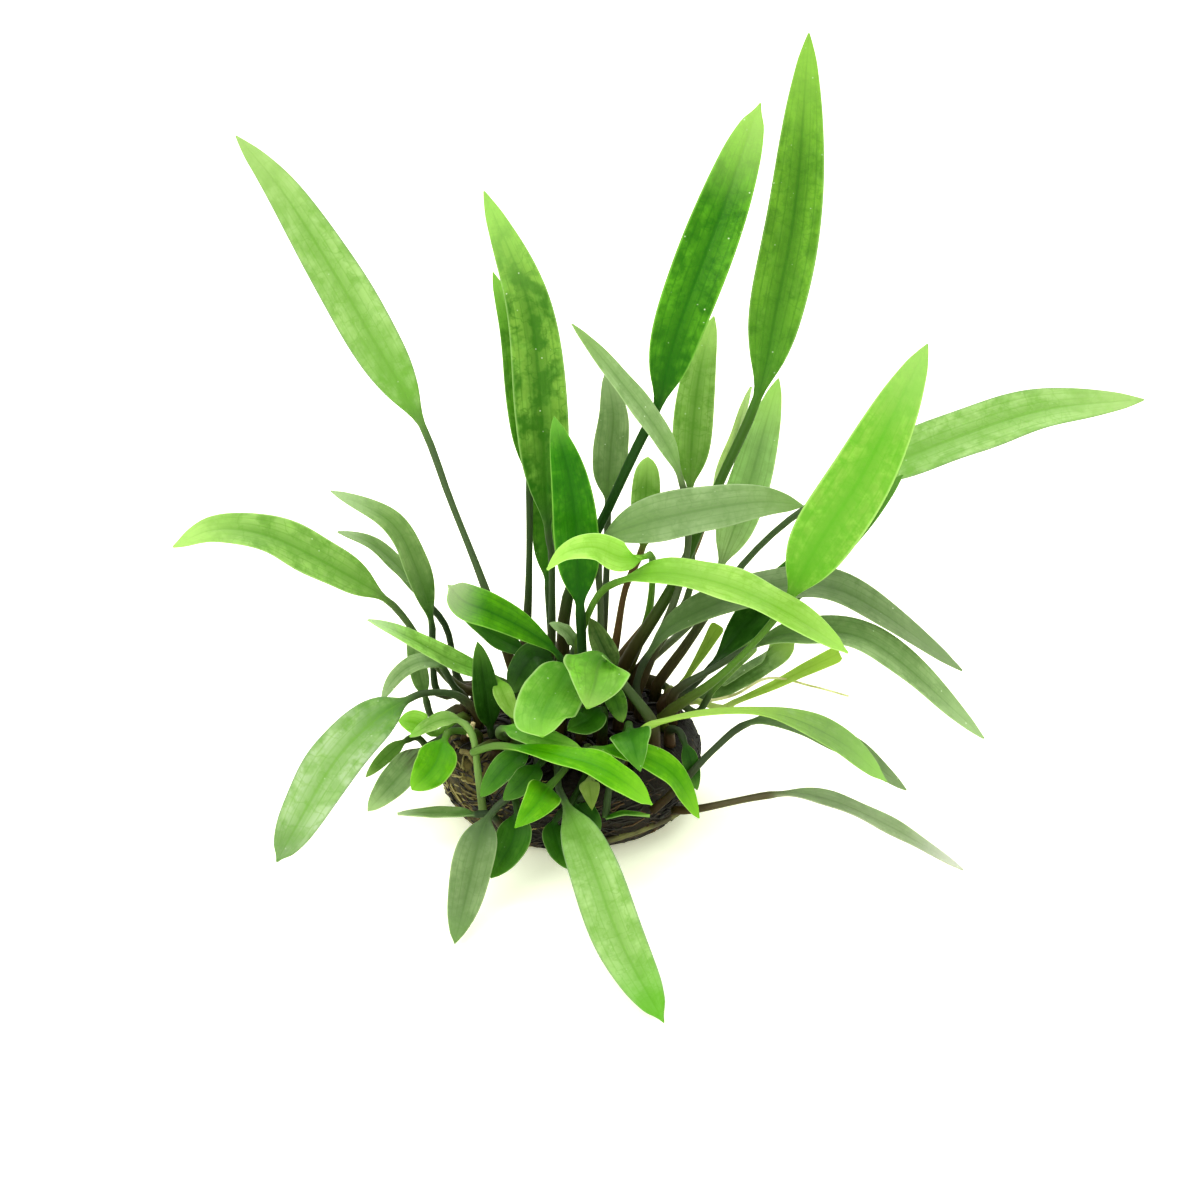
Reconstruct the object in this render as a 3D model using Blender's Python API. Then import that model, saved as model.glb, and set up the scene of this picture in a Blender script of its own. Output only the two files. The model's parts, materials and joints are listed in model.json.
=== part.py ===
"""A potted-size clump of narrow-leaved cryptocoryne: a brown plug of rooting wool and every leaf that grows from it.

Units are metres in Blender and millimetres in the tables. +Z is up and +X is to the viewer's right. The origin is the
middle of the plug's flat underside.
"""

import math

import bmesh
import bpy
from mathutils import Vector

MM = 0.001
UP = Vector((0.0, 0.0, 1.0))

# The plug of rooting wool, from its top edge down to its underside
PLUG_HEIGHT = 16.0
PLUG_TOP_RADIUS = 21.5
PLUG_RADIUS = 24.2
PLUG_SHOULDER_HEIGHT = 12.8
PLUG_WAIST_HEIGHT = 7.2
PLUG_LOWER_RADIUS = 23.0
PLUG_LOWER_HEIGHT = 3.2
PLUG_FOOT_RADIUS = 18.5
PLUG_SIDES = 36

# Leaves. A leaf on the plug's top starts a little above it and rises straight before it leans.
FOOT_GAP = 0.3
PETIOLE_RISE = 3.0
PETIOLE_FOOT_RADIUS = 0.8
PETIOLE_NECK_RADIUS = 0.5
STOUT_PETIOLES = ("leaf_right_tallest", "leaf_second_tallest", "leaf_middle_upright", "leaf_front_folded")
STOUT_EXTRA_RADIUS = 0.25
STEM_FIRST_CORNER = math.radians(30)
STEM_CORNER_STEP = math.radians(60)
STEM_CORNERS = 6
BLADE_MIDDLE_THICKNESS = 0.8
BLADE_EDGE_THICKNESS = 0.3
CHANNEL_DEPTH = 0.1
TIP_WIDTH = 0.5
PETIOLE_RINGS = 5
# Share of the way from neck to tip, and share of the full width there
BLADE_OUTLINE = ((0.0, 0.14), (0.08, 0.5), (0.2, 0.88), (0.36, 1.0), (0.58, 0.91), (0.78, 0.67), (0.92, 0.36))
EVEN_OUTLINE = ((0.0, 0.16), (0.08, 0.54), (0.2, 0.86), (0.42, 1.0), (0.62, 0.96), (0.82, 0.74), (0.93, 0.44))
WIDE_TIP_OUTLINE = ((0.0, 0.14), (0.1, 0.34), (0.25, 0.62), (0.45, 0.86), (0.66, 1.0), (0.84, 0.9), (0.94, 0.62))
SLOW_OUTLINE = ((0.0, 0.2), (0.1, 0.4), (0.25, 0.64), (0.42, 0.87), (0.62, 1.0), (0.8, 0.84), (0.92, 0.52))
LATE_OUTLINE = ((0.0, 0.3), (0.2, 0.38), (0.4, 0.42), (0.52, 0.7), (0.66, 1.0), (0.8, 0.88), (0.92, 0.5))
SHIELD_OUTLINE = ((0.0, 0.3), (0.07, 0.8), (0.2, 1.0), (0.4, 0.86), (0.6, 0.64), (0.8, 0.36), (0.93, 0.16))
HOOD_OUTLINE = ((0.0, 0.2), (0.1, 0.5), (0.24, 0.98), (0.42, 0.96), (0.62, 0.76), (0.8, 0.48), (0.92, 0.26))
ROUND_OUTLINE = ((0.0, 0.2), (0.08, 0.56), (0.22, 0.86), (0.45, 1.0), (0.68, 0.98), (0.86, 0.8), (0.96, 0.5))
STRIP_OUTLINE = ((0.0, 0.3), (0.15, 0.42), (0.35, 0.56), (0.55, 0.72), (0.75, 0.88), (0.9, 1.0), (0.97, 0.96))
OUTLINES = {
    "leaf_second_tallest": EVEN_OUTLINE, "leaf_left_drooping": EVEN_OUTLINE, "leaf_bright_arch": EVEN_OUTLINE,
    "leaf_front_long": EVEN_OUTLINE, "leaf_left_wide": WIDE_TIP_OUTLINE, "leaf_front_bright_arch": SLOW_OUTLINE,
    "leaf_right_pair_front": LATE_OUTLINE, "leaf_front_notched": SHIELD_OUTLINE, "leaf_front_heart": SHIELD_OUTLINE,
    "leaf_front_folded": HOOD_OUTLINE, "leaf_front_rounded": ROUND_OUTLINE, "leaf_small_behind": ROUND_OUTLINE,
    "leaf_right_dark_broad": ROUND_OUTLINE, "leaf_right_olive": STRIP_OUTLINE,
    "leaf_right_narrow_olive": STRIP_OUTLINE, "leaf_right_narrow_lime": STRIP_OUTLINE,
}
CURVE_STEPS = 12
LEAST_FACING = 0.3
CREASE_ANGLE = math.radians(50)

# The leaves were measured in millimetres on an upright sheet through the plug's foot that leans back to face the
# viewer: how far across and how far up a point is seen there, and how far back from the plug's middle it really is
# (minus is nearer). place() follows the line of sight from the viewer's eye to that depth.
SHEET_LEAN = math.radians(23.0)
EYE = Vector((3.9, -371.2, 200.5))


def place(across, up, back):
    on_sheet = Vector((across, up * math.sin(SHEET_LEAN), up * math.cos(SHEET_LEAN)))
    sight = on_sheet - EYE
    return EYE + sight * ((back - EYE.y) / sight.y)


# One row a leaf: name, foot on the plug (x, y) or in its side (x, y, z), points up the petiole, neck, points along
# the blade, tip, blade width, and how many degrees the upper side turns up from facing the viewer, at neck and tip.
TALL_LEAVES = (
    ("leaf_left_tall", (-9.5, 8), ((-16, 40, 10), (-22.6, 56.8, 12)), (-27.9, 70.8, 14),
     ((-37.2, 87, 17), (-44.2, 99, 20), (-54.4, 115, 23.4)), (-63, 125.3, 26), 9.4, (0, 10)),
    ("leaf_inner_tall", (-5.5, 12), ((-3.6, 28.3, 13), (-3.4, 45.3, 14)), (-4.2, 51.7, 14),
     ((-5.4, 73, 16), (-7.9, 94, 18)), (-16.2, 114.9, 22), 9.8, (10, -10)),
    ("leaf_inner_tall_behind", (-9.5, 13.5), ((-7.9, 36.6, 18),), (-7.7, 60.8, 20),
     ((-9.3, 78, 24), (-11, 89, 27)), (-14.5, 99.6, 31), 6.0, (0, 0)),
    ("leaf_slim_behind", (-1.5, 16), ((-3.4, 30.2, 18),), (-4.2, 41.5, 20),
     ((-4.7, 54.7, 22),), (-4.7, 69.8, 24), 5.2, (0, 20)),
    ("leaf_middle_upright", (2.8, -1), ((2.4, 26.8, -0.5),), (1.9, 36.8, 0),
     ((1.2, 49.1, 0.5), (0, 60.4, 1.5)), (-3, 72.3, 4), 8.2, (15, -10)),
    ("leaf_right_tallest", (8.5, 10.5), ((11.1, 27, 7), (19.8, 41.1, 8), (28.3, 60, 16)), (35.4, 76, 21),
     ((38.9, 92.5, 24), (42.6, 113, 27)), (45.1, 144.7, 30), 10.5, (0, -10)),
    ("leaf_second_tallest", (-1, 6.5), ((-0.6, 37.5, 7), (7.2, 54.9, 9), (13.6, 68.5, 10)), (16.6, 74.5, 10),
     ((20.4, 89.1, 12), (28.8, 111.6, 16)), (36, 131.5, 20), 9.9, (-10, 10)),
    ("leaf_right_broad", (17.5, -3), ((27.4, 22.6, -4), (36, 31, -5)), (41.5, 38.3, -6),
     ((47, 48.5, -8), (56, 62.8, -10)), (67.5, 86, -12), 11.4, (0, 0)),
    ("leaf_right_broad_behind", (17.5, 3), ((22.6, 21, 4),), (27.4, 26, 4.5),
     ((34, 33.5, 6.5), (42, 41, 8.5), (52, 50, 10)), (62.8, 61.3, 11), 8.2, (30, 20)),
    ("leaf_far_right", (16, 8.5), ((21.9, 29.2, 11), (32.1, 43.8, 13), (42.1, 53.4, 15)), (52, 59, 16.6),
     ((66, 65.6, 18), (88, 73.2, 20)), (108.3, 75.5, 22), 10.4, (30, 30)),
    ("leaf_pale_behind", (12.5, 15.5), ((24.5, 35, 26),), (28.5, 44.3, 29),
     ((33.6, 59, 32), (36.3, 68.5, 34)), (39.4, 79.6, 37), 8.2, (0, 0)),
    ("leaf_strip_behind", (8, 17), ((21, 42, 27),), (27, 57, 31),
     ((31, 67, 34),), (34.2, 78, 37), 5.0, (62, 62)),
    ("leaf_level_middle", (5.8, 3.2), ((5.8, 36, 3), (5.4, 44, 3)), (6.4, 48.8, 3),
     ((12, 51.6, 3), (24, 54.5, 4), (36, 56.2, 4)), (44, 55.5, 4), 9.0, (20, 10)),
    ("leaf_slanting", (12, 3.6), ((20.6, 40, 5.5), (22.4, 52, 7.4)), (20.7, 61.2, 7.2),
     ((16.7, 69.3, 6), (8.6, 80, 3)), (0.4, 89.8, 0), 5.0, (35, 35)),
    ("leaf_grey_behind", (5.6, 15.5), ((6.8, 40, 18),), (7.2, 56.6, 19),
     ((7.7, 66, 20), (8.2, 73, 21)), (6.8, 80.8, 22), 6.6, (0, 0)),
    ("leaf_green_behind", (12, 12.4), ((22, 37.7, 20), (23, 49, 23)), (22.7, 59, 25),
     ((23.2, 70, 27), (24.6, 81, 28)), (27.2, 91.3, 30), 7.6, (0, 10)),
    ("leaf_small_behind", (5.2, 11.5), ((8.1, 27.2, 12), (10.4, 39.6, 15)), (13.8, 47.9, 17),
     ((14.3, 57, 18),), (14.7, 64.7, 19), 5.4, (0, 0)),
)

MIDDLE_LEAVES = (
    ("leaf_folded_lime", (10.5, 13.5), ((14.7, 34.3, 12), (15.6, 45.2, 3)), (13.8, 45.9, -2.5),
     ((9.6, 45.9, -5.5), (4.5, 47.6, -7.5), (-0.6, 46.6, -8.5)), (-4.3, 43.4, -9.5), 5.6, (-20, 55)),
    ("leaf_bright_arch", (-1.5, 2), ((2, 31, 2), (5.5, 38.8, 1)), (10.5, 41.6, -2),
     ((18.3, 42.7, -4.5), (30, 40.2, -8), (41.5, 34.9, -12.5)), (52.5, 27.7, -16), 8.8, (48, 48)),
    ("leaf_long_grey_arch", (13, 1), ((12.6, 22, 1),), (15, 27.6, 1),
     ((21, 33.8, 1), (36.8, 39.6, 1), (52, 39, 0)), (74, 24.4, -3), 9.2, (50, 45)),
    ("leaf_short_dark", (9, -3.5), ((8.8, 21.5, -3),), (8.4, 24.5, -3),
     ((6, 29.5, -3),), (3.8, 34.3, -3), 4.4, (0, 0)),
    ("leaf_wet_curl", (-3.5, 1.5), ((-2.6, 21.6, -1),), (-3.4, 25.8, -2),
     ((-6.8, 26.8, -3), (-9.4, 23.6, -4)), (-11, 19.8, -5), 6.2, (30, 30)),
)

LEFT_LEAVES = (
    ("leaf_left_level", (-16, 6.4), ((-20.5, 21, 7), (-25.3, 25.7, 6.2), (-31, 34, 5.5)), (-35, 38, 5),
     ((-45.7, 44.4, 3), (-57.2, 49.8, 1), (-67, 50.9, -1)), (-74.9, 47.7, -2), 9.0, (32, 32)),
    ("leaf_left_curved", (-18, 9.2), ((-24.8, 20, 10), (-25.9, 30, 11.5)), (-26.2, 34, 12),
     ((-29.2, 44, 12), (-34, 52.4, 12)), (-45.1, 58.3, 10), 6.0, (35, 35)),
    ("leaf_left_dark", (-14.6, 13.6), ((-20.6, 21.9, 14.5), (-23.2, 32.3, 16.5)), (-27.4, 37.7, 17.5),
     ((-32.8, 44.2, 18), (-38, 48.4, 17)), (-43.8, 50.6, 16), 5.4, (55, 55)),
    ("leaf_left_slender", (-8.5, -2.5), ((-10.2, 20.3, -3),), (-13.6, 22.8, -4),
     ((-21.9, 26, -6), (-30.6, 30.6, -8)), (-38.1, 34, -10), 5.6, (50, 50)),
    ("leaf_left_grey_arch", (-19.6, 3.6), ((-22, 21.6, 1.5),), (-24.3, 25.2, 0),
     ((-28.1, 25.9, -2), (-32.4, 23.4, -3.5)), (-35.5, 18.9, -5), 4.4, (50, 40)),
    ("leaf_left_strip", (-20.2, 0), ((-25.6, 15.5, 2),), (-27.3, 19.5, 2.6),
     ((-29, 26.5, 2.8),), (-30.4, 32.5, 3), 3.4, (0, 0)),
    ("leaf_left_drooping", (-17, -2.4), ((-21.5, 19.8, -2.4), (-27, 20.2, -5)), (-30.8, 18.8, -8),
     ((-37, 14.8, -12), (-45, 6.2, -18)), (-55.3, -11.7, -26.5), 9.6, (15, 15)),
    ("leaf_left_wide", (-1.5, -5.5), ((-1.2, 24, -6),), (-2.6, 27.8, -6.5),
     ((-8, 31.8, -7), (-15.1, 35.4, -8), (-20, 37.4, -8.7)), (-23, 40.6, -9), 7.4, (35, 25)),
    ("leaf_left_beneath", (-7, 5), ((-6.2, 24.6, 3.5),), (-8.4, 27.6, 3),
     ((-14, 30.8, 1.5),), (-21.1, 35.8, 0), 5.4, (45, 35)),
    ("leaf_small_upright", (-13.2, -8.5), ((-14.6, 12, -10),), (-15, 13.5, -10.5),
     ((-16, 20.5, -11),), (-17.4, 29.8, -11.5), 5.0, (15, 15)),
    ("leaf_bent_stalk", (-15.2, -20.2, 7.5), ((-17.3, 5, -20), (-18.3, 12, -17)), (-20.8, 14.9, -14),
     ((-24.8, 14.8, -13.5),), (-30.2, 11.9, -14), 3.6, (40, 40)),
    ("leaf_speckled_grey", (-18.8, -6.8), ((-25, 11.2, -9),), (-27.5, 9.6, -11),
     ((-31.2, 5.6, -13),), (-38.1, -2.1, -17), 5.8, (10, 10)),
    ("leaf_left_bright_oval", (-16.8, -10.6), ((-22.4, 13, -14.5),), (-23.6, 11.4, -17),
     ((-25.6, 6.4, -19.5),), (-29.8, 1.9, -21.5), 7.2, (10, 10)),
    ("leaf_left_lime_round", (-19.4, -3.4), ((-25, 12.6, -5.5),), (-27.2, 13.4, -6.5),
     ((-29.4, 14.6, -7.5),), (-32.3, 14.9, -8.5), 4.8, (10, 10)),
    ("leaf_left_low", (-12, -22.4, 7), ((-15, -2.7, -25),), (-18, -2.7, -24),
     ((-25, -2.6, -22),), (-32.5, -2.6, -21), 4.2, (62, 62)),
)

FRONT_LEAVES = (
    ("leaf_front_rounded", (2.2, -9), ((2, 21.5, -9),), (0.4, 24.6, -12),
     ((-2.7, 20.5, -19), (-5.2, 15.4, -26)), (-5.2, 12, -31.5), 10.6, (5, 5)),
    ("leaf_front_folded", (15.2, -12.8), ((15.3, 15.1, -14), (10.6, 21.2, -12)), (6.4, 26.2, -13),
     ((5.3, 24.9, -16), (4.7, 21.8, -20.8)), (3.3, 17.3, -26), 12.2, (0, 0)),
    ("leaf_front_bright_arch", (-13.2, -14.8), ((-18.2, 9, -22), (-14.3, 10.2, -26)), (-10.6, 9.9, -29),
     ((-4.5, 8.8, -31.5), (4, 6.6, -34), (10, 3.4, -35)), (15.5, -0.9, -35), 6.6, (50, 40)),
    ("leaf_front_wet", (-10.5, -12.5), ((-13.4, 12.2, -17.5),), (-12.2, 13.5, -21),
     ((-5, 11.5, -25),), (2.1, 9.7, -26.5), 4.8, (35, 35)),
    ("leaf_front_right_arch", (3.5, -16.5), ((3.2, 9, -22),), (5.6, 9.6, -25),
     ((13, 8.3, -26), (19.6, 4.5, -25)), (24.3, -3.4, -24), 6.0, (50, 35)),
    ("leaf_front_notched", (9.5, -17), ((11, 14.2, -20.5),), (11.3, 13, -23.6),
     ((12.2, 9.6, -28.5),), (13.3, 5.4, -31), 7.4, (0, 0)),
    ("leaf_front_small_left", (-9.8, -14.6), ((-8.6, 10.4, -22.5),), (-8, 9.4, -25),
     ((-12.4, 5.9, -27.6),), (-16.8, 0.6, -29), 5.0, (25, 25)),
    ("leaf_front_small_right", (-3, -15.2), ((-4.2, 8.4, -24),), (-6, 6.4, -28.5),
     ((-9, 3, -31.8),), (-12.5, 0, -33.5), 4.8, (25, 25)),
    ("leaf_front_heart", (1.6, -17.5), ((-1.6, 5, -26.5),), (-4, 2.4, -32.5),
     ((-6.5, -1, -36),), (-10.4, -5.3, -38), 6.4, (0, 0)),
    ("leaf_front_long", (-1.8, -18.6), ((-2.2, 2.8, -26.5),), (-0.7, -0.8, -30),
     ((4.2, -12.3, -43), (9.5, -26.6, -58)), (17.7, -41.9, -76), 8.8, (0, 0)),
    ("leaf_front_left_grey", (-5.4, -12.5), ((-6.8, 4.4, -27.5), (-12, 0.2, -30.5)), (-15.2, -3.1, -32),
     ((-17.4, -9, -37.5), (-19.8, -19.4, -45.5)), (-21.7, -27, -53), 7.2, (15, 10)),
    ("leaf_front_under", (-9.6, -18), ((-10.6, 2, -26.5),), (-9.9, -2.4, -29.2),
     ((-10.9, -8, -33),), (-14.9, -14.7, -37.5), 6.2, (10, 10)),
    ("leaf_front_low_dark", (5.2, -18.2), ((0.8, 0.4, -27.5),), (-2.8, -4, -30),
     ((-2.4, -8, -33),), (-0.4, -13, -37), 4.8, (10, 10)),
    ("leaf_front_hidden", (6, -12), ((6.6, 16, -15),), (5.6, 17, -18),
     ((3.4, 14.8, -21),), (-0.4, 13.2, -24), 5.4, (20, 20)),
)

RIGHT_LEAVES = (
    ("leaf_right_lower_arch", (19, -0.5), ((20, 20.6, -0.5), (27.4, 25, -1)), (34.5, 29, -2),
     ((43.4, 31.4, -3), (57.7, 29.2, -5)), (78.1, 11.6, -8), 8.3, (50, 45)),
    ("leaf_right_pair_back", (15, -20.6, 9), ((20, 1.9, -21), (26.8, 9.2, -18)), (34, 14.6, -16),
     ((43.4, 13.9, -14), (53.2, 9.4, -12)), (63.4, 1.9, -10), 6.8, (55, 45)),
    ("leaf_right_pair_front", (12.2, -15.8), ((13, 12.4, -20),), (16.6, 14.6, -21),
     ((28.3, 16.6, -21), (39.6, 15.9, -21), (50.9, 10.9, -21)), (59.8, 3.4, -21), 6.2, (70, 30)),
    ("leaf_far_right_low", (19, -16.8, 7), ((24, -1.7, -20),), (39.2, 1.1, -22),
     ((48.7, -0.1, -24), (60, -5, -26)), (74.2, -13.2, -28.5), 5.4, (60, 52)),
    ("leaf_right_olive", (18.9, 6.4), ((28.3, 17.4, 8),), (31, 18.4, 8.4),
     ((38.5, 21.6, 9.5), (45, 24.8, 10.4)), (51, 27.6, 11), 3.3, (20, 20)),
    ("leaf_right_dark_broad", (15.6, 12.6), ((22, 19, 12),), (25.4, 19.6, 12.5),
     ((33, 24.6, 14),), (42.3, 29.8, 16), 6.8, (20, 20)),
    ("leaf_right_narrow_olive", (19.8, 2.8), ((24, 16.6, 4),), (26.5, 20, 4.5),
     ((30.2, 24.4, 5),), (34.6, 29.4, 6), 2.8, (10, 10)),
    ("leaf_right_narrow_lime", (18.7, 8.2), ((20, 20.4, 10),), (21.6, 22.5, 10.3),
     ((24.8, 27.4, 11),), (28.1, 33, 12), 2.8, (10, 10)),
)

GREEN = (0.08, 0.3, 0.02, 1.0)
WOOL_BROWN = (0.035, 0.02, 0.012, 1.0)


def clear_scene():
    for old in list(bpy.data.objects):
        bpy.data.objects.remove(old)


def plain_material(name, colour, roughness):
    material = bpy.data.materials.new(name)
    material.use_nodes = True
    shader = material.node_tree.nodes["Principled BSDF"]
    shader.inputs["Base Color"].default_value = colour
    shader.inputs["Roughness"].default_value = roughness
    shader.inputs["Metallic"].default_value = 0.0
    return material


def new_object(name, shape, material, collection):
    bmesh.ops.recalc_face_normals(shape, faces=shape.faces)
    mesh = bpy.data.meshes.new(name)
    shape.to_mesh(mesh)
    shape.free()
    made = bpy.data.objects.new(name, mesh)
    made.data.materials.append(material)
    collection.objects.link(made)
    mesh.shade_smooth()
    mesh.set_sharp_from_angle(angle=CREASE_ANGLE)
    return made


def close_spline(points):
    """Points along a smooth curve through the given ones, with the place of each given one in the list."""
    ends = [points[0] * 2 - points[1]] + list(points) + [points[-1] * 2 - points[-2]]
    route = []
    marks = []
    for before, start, end, after in zip(ends, ends[1:], ends[2:], ends[3:]):
        marks.append(len(route))
        for step in range(CURVE_STEPS):
            t = step / CURVE_STEPS
            pull = (end - before) * t + (before * 2 - start * 5 + end * 4 - after) * t * t
            pull += (start * 3 - before - end * 3 + after) * t**3
            route.append(start + pull * 0.5)
    marks.append(len(route))
    route.append(points[-1])
    return route, marks


def along(route, share):
    """The point at a share of the way along a list of points."""
    lengths = [0.0]
    for start, end in zip(route, route[1:]):
        lengths.append(lengths[-1] + (end - start).length)
    target = share * lengths[-1]
    last = len(route) - 2
    index = next((i for i in range(last + 1) if lengths[i + 1] >= target), last)
    part = (target - lengths[index]) / (lengths[index + 1] - lengths[index])
    return route[index].lerp(route[index + 1], part)


def headings(centres):
    """The way a leaf runs at each ring: from the ring before it to the ring after it."""
    before = centres[:1] + centres[:-1]
    after = centres[1:] + centres[-1:]
    return [(end - start).normalized() for start, end in zip(before, after)]


def sideways_of(centres, directions, stalk_rings):
    """A blade lies square to the viewer's line of sight. Where it points along that line, and down the petiole,
    the side is carried on from the ring before, going from the tip to the foot, so that nothing twists."""
    sides = []
    side = directions[-1].cross(EYE - centres[-1]).normalized()
    for index in reversed(range(len(centres))):
        direction = directions[index]
        side = (side - direction * side.dot(direction)).normalized()
        facing = direction.cross((EYE - centres[index]).normalized())
        if index >= stalk_rings and facing.length > LEAST_FACING and facing.dot(side) > 0:
            side = facing.normalized()
        sides.insert(0, side)
    return sides


def stem_ring(radius):
    """The six corners of a petiole's section, as (sideways, outwards)."""
    angles = [STEM_FIRST_CORNER + STEM_CORNER_STEP * i for i in range(STEM_CORNERS)]
    return [(radius * math.cos(a), radius * math.sin(a)) for a in angles]


def blade_ring(width):
    """The six corners of a blade's channelled section, in the same order as a petiole's."""
    half, rise = width / 2, width * CHANNEL_DEPTH
    edge = BLADE_EDGE_THICKNESS / 2
    middle = BLADE_MIDDLE_THICKNESS / 2
    return [
        (half, rise + edge),
        (0.0, middle),
        (-half, rise + edge),
        (-half, rise - edge),
        (0.0, -middle),
        (half, rise - edge),
    ]


def add_ring(shape, centre, direction, side, turn, section):
    out = side.cross(direction)
    sideways = side * math.cos(turn) + out * math.sin(turn)
    outwards = out * math.cos(turn) - side * math.sin(turn)
    return [shape.verts.new((centre + sideways * s + outwards * o) * MM) for s, o in section]


def make_leaf(row, material, collection):
    """A loft from a round petiole to a flat, channelled blade."""
    name, foot, petiole, neck, blade, tip, width, turns = row
    on_top = len(foot) == 2
    start = Vector((*foot, PLUG_HEIGHT + FOOT_GAP)) if on_top else Vector(foot)
    lower = [start, start + UP * PETIOLE_RISE] if on_top else [start]
    lower += [place(*p) for p in petiole]
    points = lower + [place(*p) for p in (neck, *blade, tip)]
    route, marks = close_spline(points)
    split = marks[len(lower)]
    stalk, flat = route[: split + 1], route[split:]
    heading = 1 if points[-1].x >= points[len(lower)].x else -1
    first, last = (math.radians(t) * heading for t in turns)
    extra = STOUT_EXTRA_RADIUS if name in STOUT_PETIOLES else 0.0

    centres, rolls, sections = [], [], []
    for share in (i / PETIOLE_RINGS for i in range(PETIOLE_RINGS)):
        centres.append(along(stalk, share))
        rolls.append(first)
        sections.append(stem_ring(extra + PETIOLE_FOOT_RADIUS + (PETIOLE_NECK_RADIUS - PETIOLE_FOOT_RADIUS) * share))
    for share, wide in OUTLINES.get(name, BLADE_OUTLINE):
        centres.append(along(flat, share))
        rolls.append(first + (last - first) * share)
        sections.append(blade_ring(width * wide))
    centres.append(points[-1])
    rolls.append(last)
    sections.append(stem_ring(TIP_WIDTH / 2))

    directions = headings(centres)
    if on_top:
        directions[0] = UP
    sides = sideways_of(centres, directions, PETIOLE_RINGS)
    shape = bmesh.new()
    rings = [add_ring(shape, *ring) for ring in zip(centres, directions, sides, rolls, sections)]
    for below, above in zip(rings, rings[1:]):
        for i in range(STEM_CORNERS):
            shape.faces.new((below[i - 1], below[i], above[i], above[i - 1]))
    shape.faces.new(rings[0])
    shape.faces.new(rings[-1])
    return new_object(name, shape, material, collection)


def make_plug(material, collection):
    """The wool plug as a turned shape with a rounded lower edge and a flat underside."""
    profile = (
        (PLUG_TOP_RADIUS, PLUG_HEIGHT),
        (PLUG_RADIUS, PLUG_SHOULDER_HEIGHT),
        (PLUG_RADIUS, PLUG_WAIST_HEIGHT),
        (PLUG_LOWER_RADIUS, PLUG_LOWER_HEIGHT),
        (PLUG_FOOT_RADIUS, 0.0),
    )
    shape = bmesh.new()
    loops = []
    for radius, height in profile:
        made = bmesh.ops.create_circle(shape, segments=PLUG_SIDES, radius=radius * MM)
        bmesh.ops.translate(shape, verts=made["verts"], vec=(0, 0, height * MM))
        loops.append(list({edge for vert in made["verts"] for edge in vert.link_edges}))
    for upper, lower in zip(loops, loops[1:]):
        bmesh.ops.bridge_loops(shape, edges=upper + lower)
    bmesh.ops.contextual_create(shape, geom=loops[0])
    bmesh.ops.contextual_create(shape, geom=loops[-1])
    return new_object("root_plug", shape, material, collection)


def build():
    clear_scene()
    collection = bpy.data.collections.new("cryptocoryne")
    bpy.context.scene.collection.children.link(collection)
    make_plug(plain_material("root plug wool", WOOL_BROWN, 0.9), collection)
    for row in TALL_LEAVES + MIDDLE_LEAVES + LEFT_LEAVES + FRONT_LEAVES + RIGHT_LEAVES:
        make_leaf(row, plain_material(row[0] + " leaf green", GREEN, 0.4), collection)


build()
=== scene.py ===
import json
import math
import random

import bmesh
import bpy
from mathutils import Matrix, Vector, noise


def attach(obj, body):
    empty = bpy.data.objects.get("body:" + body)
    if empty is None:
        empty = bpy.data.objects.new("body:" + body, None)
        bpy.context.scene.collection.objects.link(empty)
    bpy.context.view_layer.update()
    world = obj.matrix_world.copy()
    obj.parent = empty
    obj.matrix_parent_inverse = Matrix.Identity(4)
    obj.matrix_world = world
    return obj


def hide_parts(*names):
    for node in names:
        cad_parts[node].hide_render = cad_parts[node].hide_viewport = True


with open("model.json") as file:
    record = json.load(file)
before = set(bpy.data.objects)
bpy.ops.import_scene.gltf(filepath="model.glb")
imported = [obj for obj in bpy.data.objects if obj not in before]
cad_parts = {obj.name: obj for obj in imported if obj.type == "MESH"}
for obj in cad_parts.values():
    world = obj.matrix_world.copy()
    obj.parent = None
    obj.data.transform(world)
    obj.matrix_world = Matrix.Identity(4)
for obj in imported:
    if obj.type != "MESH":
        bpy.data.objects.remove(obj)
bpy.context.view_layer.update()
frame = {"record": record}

MM = 0.001
UP = Vector((0.0, 0.0, 1.0))

# Viewpoint
# The plant is seen from in front and a little above, 23 degrees down, as it stands on a table. All leaf
# places below were measured from this eye, in millimetres from the middle of the plug's underside.
EYE = Vector((3.9, -371.2, 200.5))
LOOK_DOWN = math.radians(23.0)
camera_data = bpy.data.cameras.new("viewer")
camera_data.sensor_width = 36.0
camera_data.lens = 67.86
camera = bpy.data.objects.new("viewer", camera_data)
camera.location = EYE * MM
camera.rotation_euler = (math.radians(90.0) - LOOK_DOWN, 0.0, 0.0)
bpy.context.scene.collection.objects.link(camera)
bpy.context.scene.camera = camera
bpy.context.scene.view_settings.view_transform = "Standard"
bpy.context.scene.view_settings.look = "Medium High Contrast"

# Floor
# A plain pale tabletop, wide enough that its far edge is out of sight. It glows faintly, so that it stays as
# white as the studio around it and the shadows on it are pale.
FLOOR_SIZE = 8.0
FLOOR_GLOW = 0.3


def colour(red, green, blue):
    """A colour as a paint chart gives it, 0 to 255, turned into the linear values that shaders take."""
    return tuple((c / 255.0) ** 2.2 for c in (red, green, blue)) + (1.0,)


def node_of(tree, kind, **settings):
    node = tree.nodes.new(kind)
    for name, value in settings.items():
        setattr(node, name, value)
    return node


def feed(tree, source, target):
    tree.links.new(source, target)


def plain_finish(name, base, roughness):
    material = bpy.data.materials.new(name)
    material.use_nodes = True
    shader = material.node_tree.nodes["Principled BSDF"]
    shader.inputs["Base Color"].default_value = base
    shader.inputs["Roughness"].default_value = roughness
    return material, material.node_tree, shader


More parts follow.
